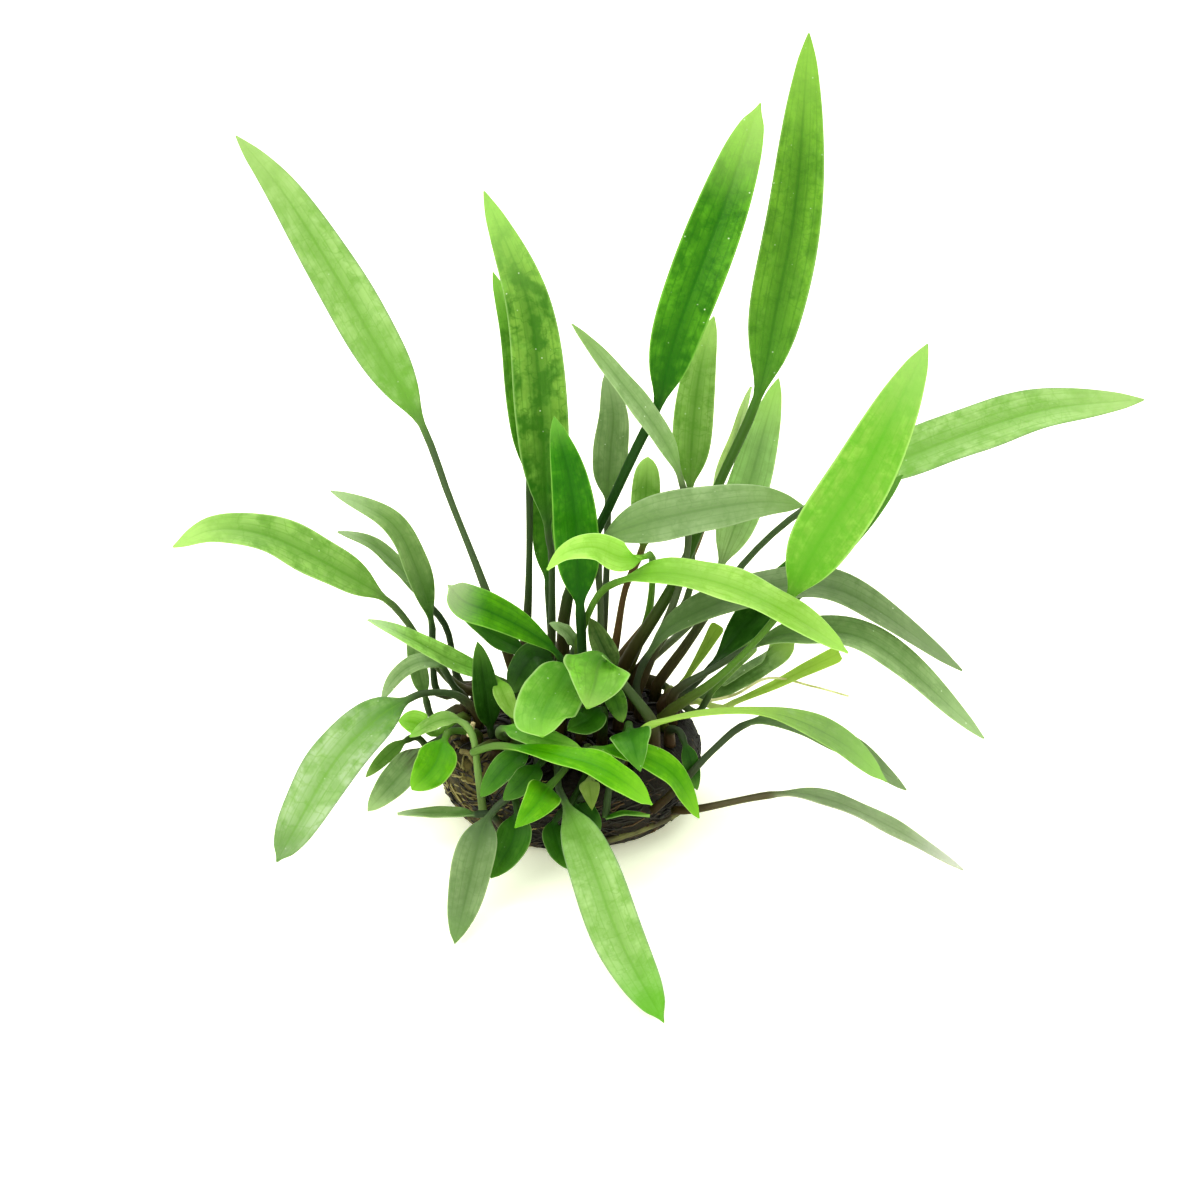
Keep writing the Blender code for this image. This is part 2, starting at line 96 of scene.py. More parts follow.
floor_shape = bmesh.new()
bmesh.ops.create_grid(floor_shape, x_segments=1, y_segments=1, size=FLOOR_SIZE / 2)
floor_mesh = bpy.data.meshes.new("floor")
floor_shape.to_mesh(floor_mesh)
floor_shape.free()
floor = bpy.data.objects.new("floor", floor_mesh)
# The faint ivory tint of the floor and of its glow is painted reflected light from the green leaves. It shows
# only in the shadows near the plant.
floor_finish, _, floor_shader = plain_finish("pale tabletop", colour(250, 252, 234), 0.7)
floor_shader.inputs["Emission Color"].default_value = colour(250, 252, 218)
floor_shader.inputs["Emission Strength"].default_value = FLOOR_GLOW
floor_mesh.materials.append(floor_finish)
bpy.context.scene.collection.objects.link(floor)

# Light
# An evenly bright white studio, with one large soft lamp above and behind that shines through the thin
# blades, and another in front on the left.
CROWN_PLACE = (0.0, 0.0, 0.05)
world = bpy.data.worlds.new("white studio")
world.use_nodes = True
world.node_tree.nodes["Background"].inputs["Color"].default_value = (1.0, 1.0, 1.0, 1.0)
world.node_tree.nodes["Background"].inputs["Strength"].default_value = 1.15
bpy.context.scene.world = world


def soft_lamp(name, place, size, power):
    """A square lamp that faces the crown, its place and size in metres and its power in watts."""
    lamp_data = bpy.data.lights.new(name, "AREA")
    lamp_data.size = size
    lamp_data.energy = power
    lamp = bpy.data.objects.new(name, lamp_data)
    lamp.location = place
    lamp.rotation_euler = (Vector(CROWN_PLACE) - Vector(place)).to_track_quat("-Z", "Y").to_euler()
    bpy.context.scene.collection.objects.link(lamp)


soft_lamp("overhead lamp", (0.1, 0.35, 0.9), 0.7, 5.0)
soft_lamp("front lamp", (-0.6, -0.8, 0.7), 0.6, 4.9)

# Leaf finish
# A fresh leaf is thin, glossy and lets light through. The blade is darker along the midrib, mottled between
# the veins and paler at the margin and tip, and it runs down into a tougher, darker petiole. Leaves of one
# age and light share a finish, so the finishes hold painted light and shade as well as the leaves' own
# greens: the bright lime and vivid ones are partly painted light on backlit leaves, and the dark ones are
# partly painted shade inside the clump. Each leaf has its own place in the mottling and its own tone, and the
# tone is partly painted light and shade that make the leaf lighter or darker for where it lies.
PALETTES = {
    "lime": dict(blade=(170, 208, 106), centre=(128, 180, 60), base=(122, 184, 54), pale=(186, 232, 112),
        margin=(204, 238, 150), tip=(170, 212, 104), stalk=(104, 142, 62), glow=(176, 226, 80), mottle=0.5,
        specks=0.0),
    "fresh": dict(blade=(154, 188, 108), centre=(102, 148, 56), base=(116, 152, 74), pale=(166, 208, 110),
        margin=(186, 214, 144), tip=(182, 216, 126), stalk=(88, 106, 68), glow=(158, 206, 84), mottle=0.6,
        specks=0.5),
    "green": dict(blade=(102, 156, 50), centre=(66, 118, 32), base=(54, 112, 22), pale=(142, 190, 86),
        margin=(164, 200, 124), tip=(154, 204, 92), stalk=(72, 90, 58), glow=(128, 190, 58), mottle=0.7,
        specks=0.6),
    "deep": dict(blade=(94, 156, 36), centre=(40, 104, 10), base=(36, 98, 8), pale=(114, 182, 50),
        margin=(156, 208, 98), tip=(178, 214, 116), stalk=(46, 80, 32), glow=(106, 190, 30), mottle=0.6,
        specks=0.9),
    "vivid": dict(blade=(112, 182, 14), centre=(76, 150, 6), base=(76, 150, 16), pale=(148, 210, 52),
        margin=(186, 228, 116), tip=(146, 208, 60), stalk=(104, 136, 66), glow=(132, 206, 20), mottle=0.5,
        specks=0.3),
    "hazy": dict(blade=(164, 190, 136), centre=(122, 154, 94), base=(128, 166, 90), pale=(178, 204, 150),
        margin=(182, 204, 156), tip=(144, 176, 106), stalk=(100, 112, 82), glow=(160, 200, 122), mottle=0.5,
        specks=0.9),
    "pale": dict(blade=(164, 194, 126), centre=(118, 162, 72), base=(104, 158, 50), pale=(182, 208, 150),
        margin=(134, 158, 122), tip=(164, 192, 122), stalk=(86, 102, 74), glow=(180, 220, 124), mottle=0.6,
        specks=0.3),
    "grey": dict(blade=(148, 172, 120), centre=(104, 134, 78), base=(106, 140, 76), pale=(160, 188, 132),
        margin=(172, 196, 140), tip=(162, 186, 136), stalk=(80, 94, 68), glow=(146, 186, 104), mottle=0.5,
        specks=0.8),
    "dark": dict(blade=(58, 102, 32), centre=(38, 76, 18), base=(36, 74, 14), pale=(88, 134, 54),
        margin=(126, 162, 88), tip=(98, 142, 60), stalk=(58, 70, 48), glow=(76, 136, 38), mottle=0.5,
        specks=0.5),
    "olive": dict(blade=(164, 192, 94), centre=(132, 164, 68), base=(140, 164, 82), pale=(190, 210, 126),
        margin=(206, 222, 148), tip=(170, 200, 92), stalk=(166, 182, 112), glow=(192, 216, 96), mottle=0.4,
        specks=0.0),
    "low": dict(blade=(76, 130, 36), centre=(50, 104, 20), base=(28, 76, 8), pale=(106, 158, 60),
        margin=(158, 192, 118), tip=(94, 146, 50), stalk=(58, 84, 38), glow=(92, 156, 34), mottle=0.4,
        specks=0.3),
    "arched": dict(blade=(146, 174, 110), centre=(110, 146, 76), base=(56, 108, 26), pale=(164, 196, 130),
        margin=(176, 202, 144), tip=(182, 204, 158), stalk=(60, 76, 52), glow=(152, 190, 112), mottle=0.5,
        specks=0.5),
}
# Finishes that differ from another one in a few colours
VARIANTS = {
    "tall": ("green", dict(blade=(126, 176, 60), base=(82, 136, 44), tip=(152, 194, 90), stalk=(76, 108, 46),
        mottle=0.45)),
    "mottled": ("green", dict(blade=(132, 172, 74), base=(48, 110, 20), tip=(166, 208, 112), mottle=0.9,
        specks=1.0)),
    "upright": ("deep", dict(blade=(64, 134, 20), tip=(124, 180, 76), tip_start=0.8)),
    "broad": ("lime", dict(blade=(144, 190, 82), centre=(110, 180, 52), base=(114, 180, 52),
        tip=(170, 208, 122), foot=(96, 104, 52), mottle=0.6)),
    "long": ("pale", dict(tip=(94, 166, 20), base=(126, 176, 78))),
    "behind": ("hazy", dict(blade=(168, 204, 132), base=(188, 210, 154), tip=(182, 220, 122),
        margin=(204, 224, 170), mottle=0.3)),
    "strip": ("behind", dict(blade=(190, 212, 132), tip=(196, 222, 148), stalk=(120, 104, 66))),
    "russet": ("fresh", dict(stalk=(112, 84, 58))),
    "rounded": ("fresh", dict(blade=(130, 188, 72), centre=(94, 156, 46), base=(82, 152, 38),
        tip=(146, 200, 84))),
    "folded": ("fresh", dict(blade=(136, 202, 68), base=(56, 128, 8), tip=(150, 190, 92))),
    "slender": ("fresh", dict(blade=(164, 210, 106), base=(108, 184, 46), tip=(192, 214, 170))),
    "drooping": ("pale", dict(blade=(176, 196, 156), base=(66, 126, 22), tip=(106, 140, 80), tip_start=0.72)),
    "bent": ("fresh", dict(tip=(142, 200, 82), stalk=(132, 164, 92), foot=(116, 138, 82))),
    "heart": ("vivid", dict(base=(22, 50, 10), tip=(118, 184, 40))),
    "shaded": ("deep", dict(blade=(96, 162, 16), base=(40, 96, 10), tip=(190, 202, 164), mottle=0.4)),
    "turned": ("hazy", dict(blade=(132, 168, 94), stalk=(166, 200, 96), base=(152, 190, 96),
        margin=(176, 212, 124), tip=(158, 202, 108), blade_start=0.42)),
    "faded": ("grey", dict(blade=(158, 174, 134), centre=(128, 148, 106), base=(140, 160, 116),
        stalk=(96, 88, 66), tip=(214, 214, 204), margin=(190, 192, 168))),
    "smoky": ("grey", dict(base=(62, 96, 48), tip=(120, 156, 86))),
    "bronzed": ("dark", dict(blade=(110, 132, 76), base=(80, 106, 46), tip=(68, 92, 32))),
    "patched": ("grey", dict(base=(80, 112, 40), tip=(162, 190, 100), mottle=0.8)),
    "bruised": ("grey", dict(base=(88, 92, 78), bruise=(70, 62, 44), tip=(176, 202, 142))),
}
for name, (kin, changes) in VARIANTS.items():
    PALETTES[name] = dict(PALETTES[kin], **changes)
SPECK_COLOUR = colour(225, 240, 205)
OLD_PETIOLE = colour(78, 60, 42)
RIB_SHADE = 0.6
# Where lines and shades begin and end, as shares of the way from the rib to the margin
SIDE_VEINS = (0.36, 0.68)
SIDE_VEIN_EDGE = (0.008, 0.04)
RIB_EDGE = (0.02, 0.09)
RIB_SHADE_EDGE = (0.05, 0.75)
PALE_FROM_RIB = (0.0, 0.6)
RIM_EDGE = (0.9, 0.99)
# Where zones begin and end along the leaf: -1 is the foot, 0 the neck and 1 the tip
TIP_START = 0.62
BASE_LENGTH = 0.42
SKIN_BEFORE_NECK = 0.1
SKIN_AFTER_NECK = 0.12
OLD_TO_YOUNG = (-0.9, -0.45)
LEAF_GLOSS = 0.2
LEAF_ROUGHNESS = (0.3, 0.5)
LIGHT_THROUGH = 0.4
GLOW_SHARE = 0.35


def steps_between(tree, value, low, high):
    """0 below low, 1 above high, and smooth between them."""
    node = node_of(tree, "ShaderNodeMapRange", interpolation_type="SMOOTHSTEP")
    node.inputs["From Min"].default_value = low
    node.inputs["From Max"].default_value = high
    feed(tree, value, node.inputs["Value"])
    return node.outputs["Result"]


def arithmetic(tree, operation, first, second=None):
    node = node_of(tree, "ShaderNodeMath", operation=operation)
    for socket, value in zip(node.inputs, (first, second)):
        if isinstance(value, (int, float)):
            socket.default_value = value
        elif value is not None:
            feed(tree, value, socket)
    return node.outputs["Value"]


def times(tree, first, second):
    return arithmetic(tree, "MULTIPLY", first, second)


def fading(tree, value, low, high):
    """1 below low, 0 above high, and smooth between them."""
    return arithmetic(tree, "SUBTRACT", 1.0, steps_between(tree, value, low, high))


def distance(tree, value, place):
    return arithmetic(tree, "ABSOLUTE", arithmetic(tree, "SUBTRACT", value, place))


def blended(tree, amount, first, second):
    """The first colour where amount is 0 and the second where it is 1."""
    node = node_of(tree, "ShaderNodeMix", data_type="RGBA")
    sockets = {s.identifier: s for s in node.inputs}
    for key, value in (("Factor_Float", amount), ("A_Color", first), ("B_Color", second)):
        if isinstance(value, (int, float, tuple)):
            sockets[key].default_value = value
        else:
            feed(tree, value, sockets[key])
    return next(s for s in node.outputs if s.identifier == "Result_Color")


def marked(tree, skin, mask, cover, tint):
    """The skin with a tint over it where the mask is 1, as much of it as cover says."""
    return blended(tree, times(tree, mask, cover), skin, tint)


def soft_noise(tree, vector, scale, detail, distortion=0.0):
    texture = node_of(tree, "ShaderNodeTexNoise")
    texture.inputs["Scale"].default_value = scale
    texture.inputs["Detail"].default_value = detail
    texture.inputs["Distortion"].default_value = distortion
    feed(tree, vector, texture.inputs["Vector"])
    return texture.outputs["Fac"]


def patches(tree, vector, per_mm, stretch, detail=3.0):
    """A soft noise that can be longer along the leaf than across it."""
    mapping = node_of(tree, "ShaderNodeMapping")
    mapping.inputs["Scale"].default_value = (per_mm, per_mm / stretch, 1.0)
    feed(tree, vector, mapping.inputs["Vector"])
    return soft_noise(tree, mapping.outputs["Vector"], 1.0, detail)


def relief(tree, shader, height, strength, depth):
    """Fine bumps that are only in the shading, their depth in metres."""
    bump = node_of(tree, "ShaderNodeBump")
    bump.inputs["Strength"].default_value = strength
    bump.inputs["Distance"].default_value = depth
    feed(tree, height, bump.inputs["Height"])
    feed(tree, bump.outputs["Normal"], shader.inputs["Normal"])


def leaf_finish(name, palette):
    """A skin that follows the leaf: zone holds the place from rib to margin, the growth and the tone, which
    is partly painted light and shade.
    """
    paint = {key: colour(*value) if isinstance(value, tuple) else value for key, value in palette.items()}
    mottle = paint["mottle"]
    blade_start = paint.get("blade_start", 0.0)
    material = bpy.data.materials.new(name + " leaf skin")
    material.use_nodes = True
    tree = material.node_tree
    shader = tree.nodes["Principled BSDF"]
    zone = node_of(tree, "ShaderNodeAttribute", attribute_name="zone")
    parts = node_of(tree, "ShaderNodeSeparateXYZ")
    feed(tree, zone.outputs["Vector"], parts.inputs["Vector"])
    from_rib = arithmetic(tree, "ABSOLUTE", parts.outputs["X"])
    growth = parts.outputs["Y"]
    painted_light_and_tone = parts.outputs["Z"]
    lie = node_of(tree, "ShaderNodeAttribute", attribute_name="lie").outputs["Vector"]

    broad = patches(tree, lie, 0.3, 1.3)
    small = patches(tree, lie, 0.75, 1.3)
    bars = patches(tree, lie, 0.5, 0.7)
    veins = patches(tree, lie, 3.0, 22.0, 2.0)
    at_tip = steps_between(tree, growth, paint.get("tip_start", TIP_START), 1.0)
    before_tip = arithmetic(tree, "SUBTRACT", 1.0, at_tip)
    shaded = times(tree, fading(tree, from_rib, *RIB_SHADE_EDGE), times(tree, before_tip, RIB_SHADE))
    mottled = times(tree, steps_between(tree, broad, 0.42, 0.6), mottle)
    skin = blended(tree, arithmetic(tree, "MAXIMUM", shaded, mottled), paint["blade"], paint["centre"])
    low_down = fading(tree, growth, blade_start, blade_start + BASE_LENGTH)
    lighter = times(tree, steps_between(tree, small, 0.4, 0.8), steps_between(tree, from_rib, *PALE_FROM_RIB))
    ridge = distance(tree, patches(tree, lie, 0.2, 0.8), 0.5)
    side_veins = [fading(tree, distance(tree, from_rib, place), *SIDE_VEIN_EDGE) for place in SIDE_VEINS]
    for mask, cover, tint in (
            (low_down, 0.8, "base"),
            (steps_between(tree, bars, 0.5, 0.62), mottle * 0.5, "centre"),
            (lighter, mottle * 0.7, "pale"),
            (steps_between(tree, veins, 0.5, 0.72), 0.25, "centre"),
            (fading(tree, ridge, 0.0, 0.025), mottle * 0.6, "centre"),
            *((line, 0.36, "centre") for line in side_veins),
            (fading(tree, from_rib, *RIB_EDGE), 0.6, "centre"),
            (at_tip, 0.8, "tip"),
            (steps_between(tree, from_rib, *RIM_EDGE), 0.7, "margin")):
        skin = marked(tree, skin, mask, cover, paint[tint])
    if paint["specks"]:
        dots = node_of(tree, "ShaderNodeTexVoronoi")
        dots.inputs["Scale"].default_value = 0.6
        feed(tree, lie, dots.inputs["Vector"])
        here = steps_between(tree, patches(tree, lie, 0.5, 1.0, 1.0), 0.55, 0.62)
        speck = times(tree, fading(tree, dots.outputs["Distance"], 0.05, 0.13), here)
        skin = marked(tree, skin, speck, paint["specks"], SPECK_COLOUR)
    if "bruise" in paint:
        skin = marked(tree, skin, low_down, steps_between(tree, veins, 0.46, 0.6), paint["bruise"])
    younger = steps_between(tree, growth, *OLD_TO_YOUNG)
    petiole = blended(tree, younger, paint.get("foot", OLD_PETIOLE), paint["stalk"])
    on_blade = steps_between(tree, growth, blade_start - SKIN_BEFORE_NECK, blade_start + SKIN_AFTER_NECK)
    # The tone makes the whole leaf lighter or darker, partly as painted light and shade for where the leaf
    # lies.
    lit_and_toned = node_of(tree, "ShaderNodeHueSaturation")
    feed(tree, arithmetic(tree, "ADD", 1.0, painted_light_and_tone), lit_and_toned.inputs["Value"])
    feed(tree, blended(tree, on_blade, petiole, skin), lit_and_toned.inputs["Color"])
    skin = lit_and_toned.outputs["Color"]
    feed(tree, skin, shader.inputs["Base Color"])

    shader.inputs["Specular IOR Level"].default_value = LEAF_GLOSS
    shine = node_of(tree, "ShaderNodeMapRange")
    shine.inputs["To Min"].default_value = LEAF_ROUGHNESS[0]
    shine.inputs["To Max"].default_value = LEAF_ROUGHNESS[1]
    feed(tree, small, shine.inputs["Value"])
    feed(tree, shine.outputs["Result"], shader.inputs["Roughness"])
    relief(tree, shader, arithmetic(tree, "ADD", veins, small), 0.6, 0.00012)

    through = node_of(tree, "ShaderNodeBsdfTranslucent")
    feed(tree, blended(tree, GLOW_SHARE, skin, paint["glow"]), through.inputs["Color"])
    mixed = node_of(tree, "ShaderNodeMixShader")
    mixed.inputs["Fac"].default_value = LIGHT_THROUGH
    feed(tree, shader.outputs["BSDF"], mixed.inputs[1])
    feed(tree, through.outputs["BSDF"], mixed.inputs[2])
    feed(tree, mixed.outputs["Shader"], tree.nodes["Material Output"].inputs["Surface"])
    return material


leaf_finishes = {name: leaf_finish(name, palette) for name, palette in PALETTES.items()}

# Leaf blades and petioles
# Each leaf grew as one piece: a thin round petiole that widens into a flat, slightly channelled blade with a
# midrib and softly waved margins. A row gives its foot on the plug, points up the petiole, neck, points along
# the blade, tip, blade width and how far the upper side turns up from facing the viewer at the neck and at
# the tip, all in millimetres and degrees, and then its finish and tone. The tone is partly painted light and
# shade, which make the leaf lighter or darker for where it lies.
PLUG_HEIGHT = 16.0
FOOT_GAP = 0.3
PETIOLE_RISE = 3.0
PETIOLE_FOOT_RADIUS = 0.8
PETIOLE_NECK_RADIUS = 0.5
STOUT_PETIOLES = ("leaf_right_tallest", "leaf_second_tallest", "leaf_middle_upright", "leaf_front_folded")
STOUT_EXTRA_RADIUS = 0.25
SHEATH_EXTRA_RADIUS = 0.32
SHEATH_TOP = -0.35
FLARE_START = -0.4
NECK_FLARE_RADIUS = 0.18
BLADE_OPENS = (-0.08, 0.12)
LEAST_HALF_WIDTH = 0.12
MIDDLE_THICKNESS = 0.62
EDGE_THICKNESS = 0.26
EDGE_ROUNDING = 0.1
CHANNEL_DEPTH = 0.1
CHANNEL_CURVE = 1.3
RIB_WIDTH = 0.09
RIB_GROOVE = 0.12
RIB_RIDGE = 0.22
FULL_RIB_HALF_WIDTH = 3.0
WAVE_DEPTHS = (0.04, 0.1)
WAVE_COUNTS = (1.6, 3.2)
RIGHT_WAVE_LEAD = 1.7
MOTTLING_LENGTH = 900.0
CURVE_STEPS = 12
LEAST_FACING = 0.3
TURN_TO_VIEWER = 0.35
# Share of the way from neck to tip, and share of the full width there. All end in the same small blunt tip.
TIP = ((0.975, 0.15), (1.0, 0.03))
BLADE_OUTLINE = ((0.0, 0.14), (0.08, 0.5), (0.2, 0.88), (0.36, 1.0), (0.58, 0.91), (0.78, 0.67), (0.92, 0.36),
    *TIP)
EVEN_OUTLINE = ((0.0, 0.16), (0.08, 0.54), (0.2, 0.86), (0.42, 1.0), (0.62, 0.96), (0.82, 0.74), (0.93, 0.44),
    *TIP)
WIDE_TIP_OUTLINE = ((0.0, 0.14), (0.1, 0.34), (0.25, 0.62), (0.45, 0.86), (0.66, 1.0), (0.84, 0.9),
    (0.94, 0.6), *TIP)
SLOW_OUTLINE = ((0.0, 0.2), (0.1, 0.4), (0.25, 0.64), (0.42, 0.87), (0.62, 1.0), (0.8, 0.84), (0.92, 0.5),
    *TIP)
LATE_OUTLINE = ((0.0, 0.3), (0.2, 0.38), (0.4, 0.42), (0.52, 0.7), (0.66, 1.0), (0.8, 0.88), (0.92, 0.5),
    *TIP)
SHIELD_OUTLINE = ((0.0, 0.3), (0.07, 0.8), (0.2, 1.0), (0.4, 0.86), (0.6, 0.64), (0.8, 0.36), (0.93, 0.15),
    (1.0, 0.03))
HOOD_OUTLINE = ((0.0, 0.2), (0.1, 0.5), (0.24, 0.98), (0.42, 0.96), (0.62, 0.76), (0.8, 0.48), (0.92, 0.26),
    (1.0, 0.05))
ROUND_OUTLINE = ((0.0, 0.2), (0.08, 0.56), (0.22, 0.86), (0.45, 1.0), (0.68, 0.98), (0.86, 0.8), (0.96, 0.44),
    (1.0, 0.08))
STRIP_OUTLINE = ((0.0, 0.3), (0.15, 0.42), (0.35, 0.56), (0.55, 0.72), (0.75, 0.88), (0.9, 1.0), (0.97, 0.98),
    (1.0, 0.72))
OUTLINES = {
    "leaf_second_tallest": EVEN_OUTLINE, "leaf_left_drooping": EVEN_OUTLINE, "leaf_bright_arch": EVEN_OUTLINE,
    "leaf_front_long": EVEN_OUTLINE, "leaf_left_wide": WIDE_TIP_OUTLINE,
    "leaf_front_bright_arch": SLOW_OUTLINE, "leaf_right_pair_front": LATE_OUTLINE,
    "leaf_front_notched": SHIELD_OUTLINE, "leaf_front_heart": SHIELD_OUTLINE,
    "leaf_front_folded": HOOD_OUTLINE, "leaf_front_rounded": ROUND_OUTLINE,
    "leaf_small_behind": ROUND_OUTLINE, "leaf_right_dark_broad": ROUND_OUTLINE,
    "leaf_right_olive": STRIP_OUTLINE, "leaf_right_narrow_olive": STRIP_OUTLINE,
    "leaf_right_narrow_lime": STRIP_OUTLINE, "hanging_tip_leaf": SHIELD_OUTLINE,
}
# Leaves with a margin folded over: its side (-1 or 1), how far out the fold is, and where it begins and ends
FOLDS = {
    "leaf_front_folded": (-1, 0.5, -0.1, 0.42), "leaf_right_dark_broad": (-1, 0.3, 0.1, 0.9),
    "leaf_folded_lime": (1, 0.3, -0.1, 0.3),
}
FOLD_LIFT = 0.5
FOLD_BEND = 0.12
FOLD_SLOPE = 0.25
FOLD_BEGIN_LENGTH = 0.12
FOLD_END_LENGTH = 0.3
CORNERS_AROUND = 32
STALK_STATIONS = 14
BLADE_STATIONS = 46
RIB_CROWDING = 1.4
TIP_CROWDING = 1.25
MERGE_DISTANCE = 1e-7
random.seed(7)


def place(across, up, back):
    """The point seen at (across, up) on a sheet that faces the viewer, moved along the sight to its depth."""
    on_sheet = Vector((across, up * math.sin(LOOK_DOWN), up * math.cos(LOOK_DOWN)))
    sight = on_sheet - EYE
    return EYE + sight * ((back - EYE.y) / sight.y)


def close_spline(points):
    """Points along a smooth curve through the given ones, with the place of each given one in the list."""
    ends = [points[0] * 2 - points[1]] + list(points) + [points[-1] * 2 - points[-2]]
    route = []
    marks = []
    for before, start, end, after in zip(ends, ends[1:], ends[2:], ends[3:]):
        marks.append(len(route))
        for step in range(CURVE_STEPS):
            t = step / CURVE_STEPS
            pull = (end - before) * t + (before * 2 - start * 5 + end * 4 - after) * t * t
            pull += (start * 3 - before - end * 3 + after) * t**3
            route.append(start + pull * 0.5)
    marks.append(len(route))
    route.append(points[-1])
    return route, marks


def along(route, share):
    """The point at a share of the way along a list of points, and how far that is in all."""
    lengths = [0.0]
    for start, end in zip(route, route[1:]):
        lengths.append(lengths[-1] + (end - start).length)
    target = share * lengths[-1]
    last = len(route) - 2
    index = next((i for i in range(last + 1) if lengths[i + 1] >= target), last)
    part = (target - lengths[index]) / (lengths[index + 1] - lengths[index])
    return route[index].lerp(route[index + 1], part), target


def headings(centres):
    before = centres[:1] + centres[:-1]
    after = centres[1:] + centres[-1:]
    return [(end - start).normalized() for start, end in zip(before, after)]


def sideways_of(centres, directions):
    """A blade lies square to the line of sight. Elsewhere the side is carried on from the tip."""
    sides = []
    side = directions[-1].cross(EYE - centres[-1]).normalized()
    for index in reversed(range(len(centres))):
        direction = directions[index]
        side = (side - direction * side.dot(direction)).normalized()
        facing = direction.cross((EYE - centres[index]).normalized())
        if index >= STALK_STATIONS and facing.length > LEAST_FACING and facing.dot(side) > 0:
            side = side.lerp(facing.normalized(), TURN_TO_VIEWER).normalized()
        sides.insert(0, side)
    return sides


def soft_step(value, low, high):
    t = min(1.0, max(0.0, (value - low) / (high - low)))
    return t * t * (3 - 2 * t)


def width_share(points, share):
    """The blade's width there as a share of its full width, smooth between the outline's points."""
    slopes = []
    for i in range(len(points)):
        before, after = points[max(0, i - 1)], points[min(len(points) - 1, i + 1)]
        slopes.append((after[1] - before[1]) / (after[0] - before[0]))
    index = next(i for i in range(1, len(points)) if share <= points[i][0] + 1e-9)
    (x0, y0), (x1, y1) = points[index - 1], points[index]
    gap = x1 - x0
    t = (share - x0) / gap
    rise = y0 * (1 + 2 * t) * (1 - t) ** 2 + y1 * t * t * (3 - 2 * t)
    return rise + gap * (slopes[index - 1] * t * (1 - t) ** 2 - slopes[index] * t * t * (1 - t))


def folded_over(across, out, under, half, share, fold):
    """Brings a corner that lies beyond the fold back over the blade."""
    side, line, begin, end = fold
    beyond = across * side - line
    amount = soft_step(share, begin, begin + FOLD_BEGIN_LENGTH)
    amount *= 1 - soft_step(share, end - FOLD_END_LENGTH, end)
    if beyond <= 0 or amount <= 0:
        return across, out
    mirrored = side * (line - beyond)
    lifted = out - 2 * under + FOLD_LIFT * soft_step(beyond, 0.0, FOLD_BEND) + beyond * half * FOLD_SLOPE
    return across + (mirrored - across) * amount, out + (lifted - out) * amount


def blade_corner(turned, half, share, waves, fold):
    """One corner of the blade's section: sideways, outwards, and its place between the margins (-1 to 1)."""
    circle = -math.cos(turned)
    across = math.copysign(abs(circle) ** RIB_CROWDING, circle)
    from_rib = abs(across)
    upper = math.sin(turned) >= 0
    fullness = math.sqrt(min(1.0, (1.0 - from_rib) / EDGE_ROUNDING))
    thickness = (EDGE_THICKNESS + (MIDDLE_THICKNESS - EDGE_THICKNESS) * (1 - from_rib)) * fullness
    rib = math.exp(-((across / RIB_WIDTH) ** 2)) * min(half / FULL_RIB_HALF_WIDTH, 1.0)
    out = half * 2 * CHANNEL_DEPTH * from_rib**CHANNEL_CURVE
    skin = (thickness / 2 - RIB_GROOVE * rib) if upper else -(thickness / 2 + RIB_RIDGE * rib)
    out += skin
    amount, turns_left, turns_right, start = waves
    wave = turns_left * share + start if across < 0 else turns_right * share + start * RIGHT_WAVE_LEAD
    out += math.sin(math.pi * share) * from_rib**2 * half * amount * math.sin(2 * math.pi * wave)
    place_across = across
    if fold:
        place_across, out = folded_over(across, out, skin, half, share, fold)
    return place_across * half, out, across


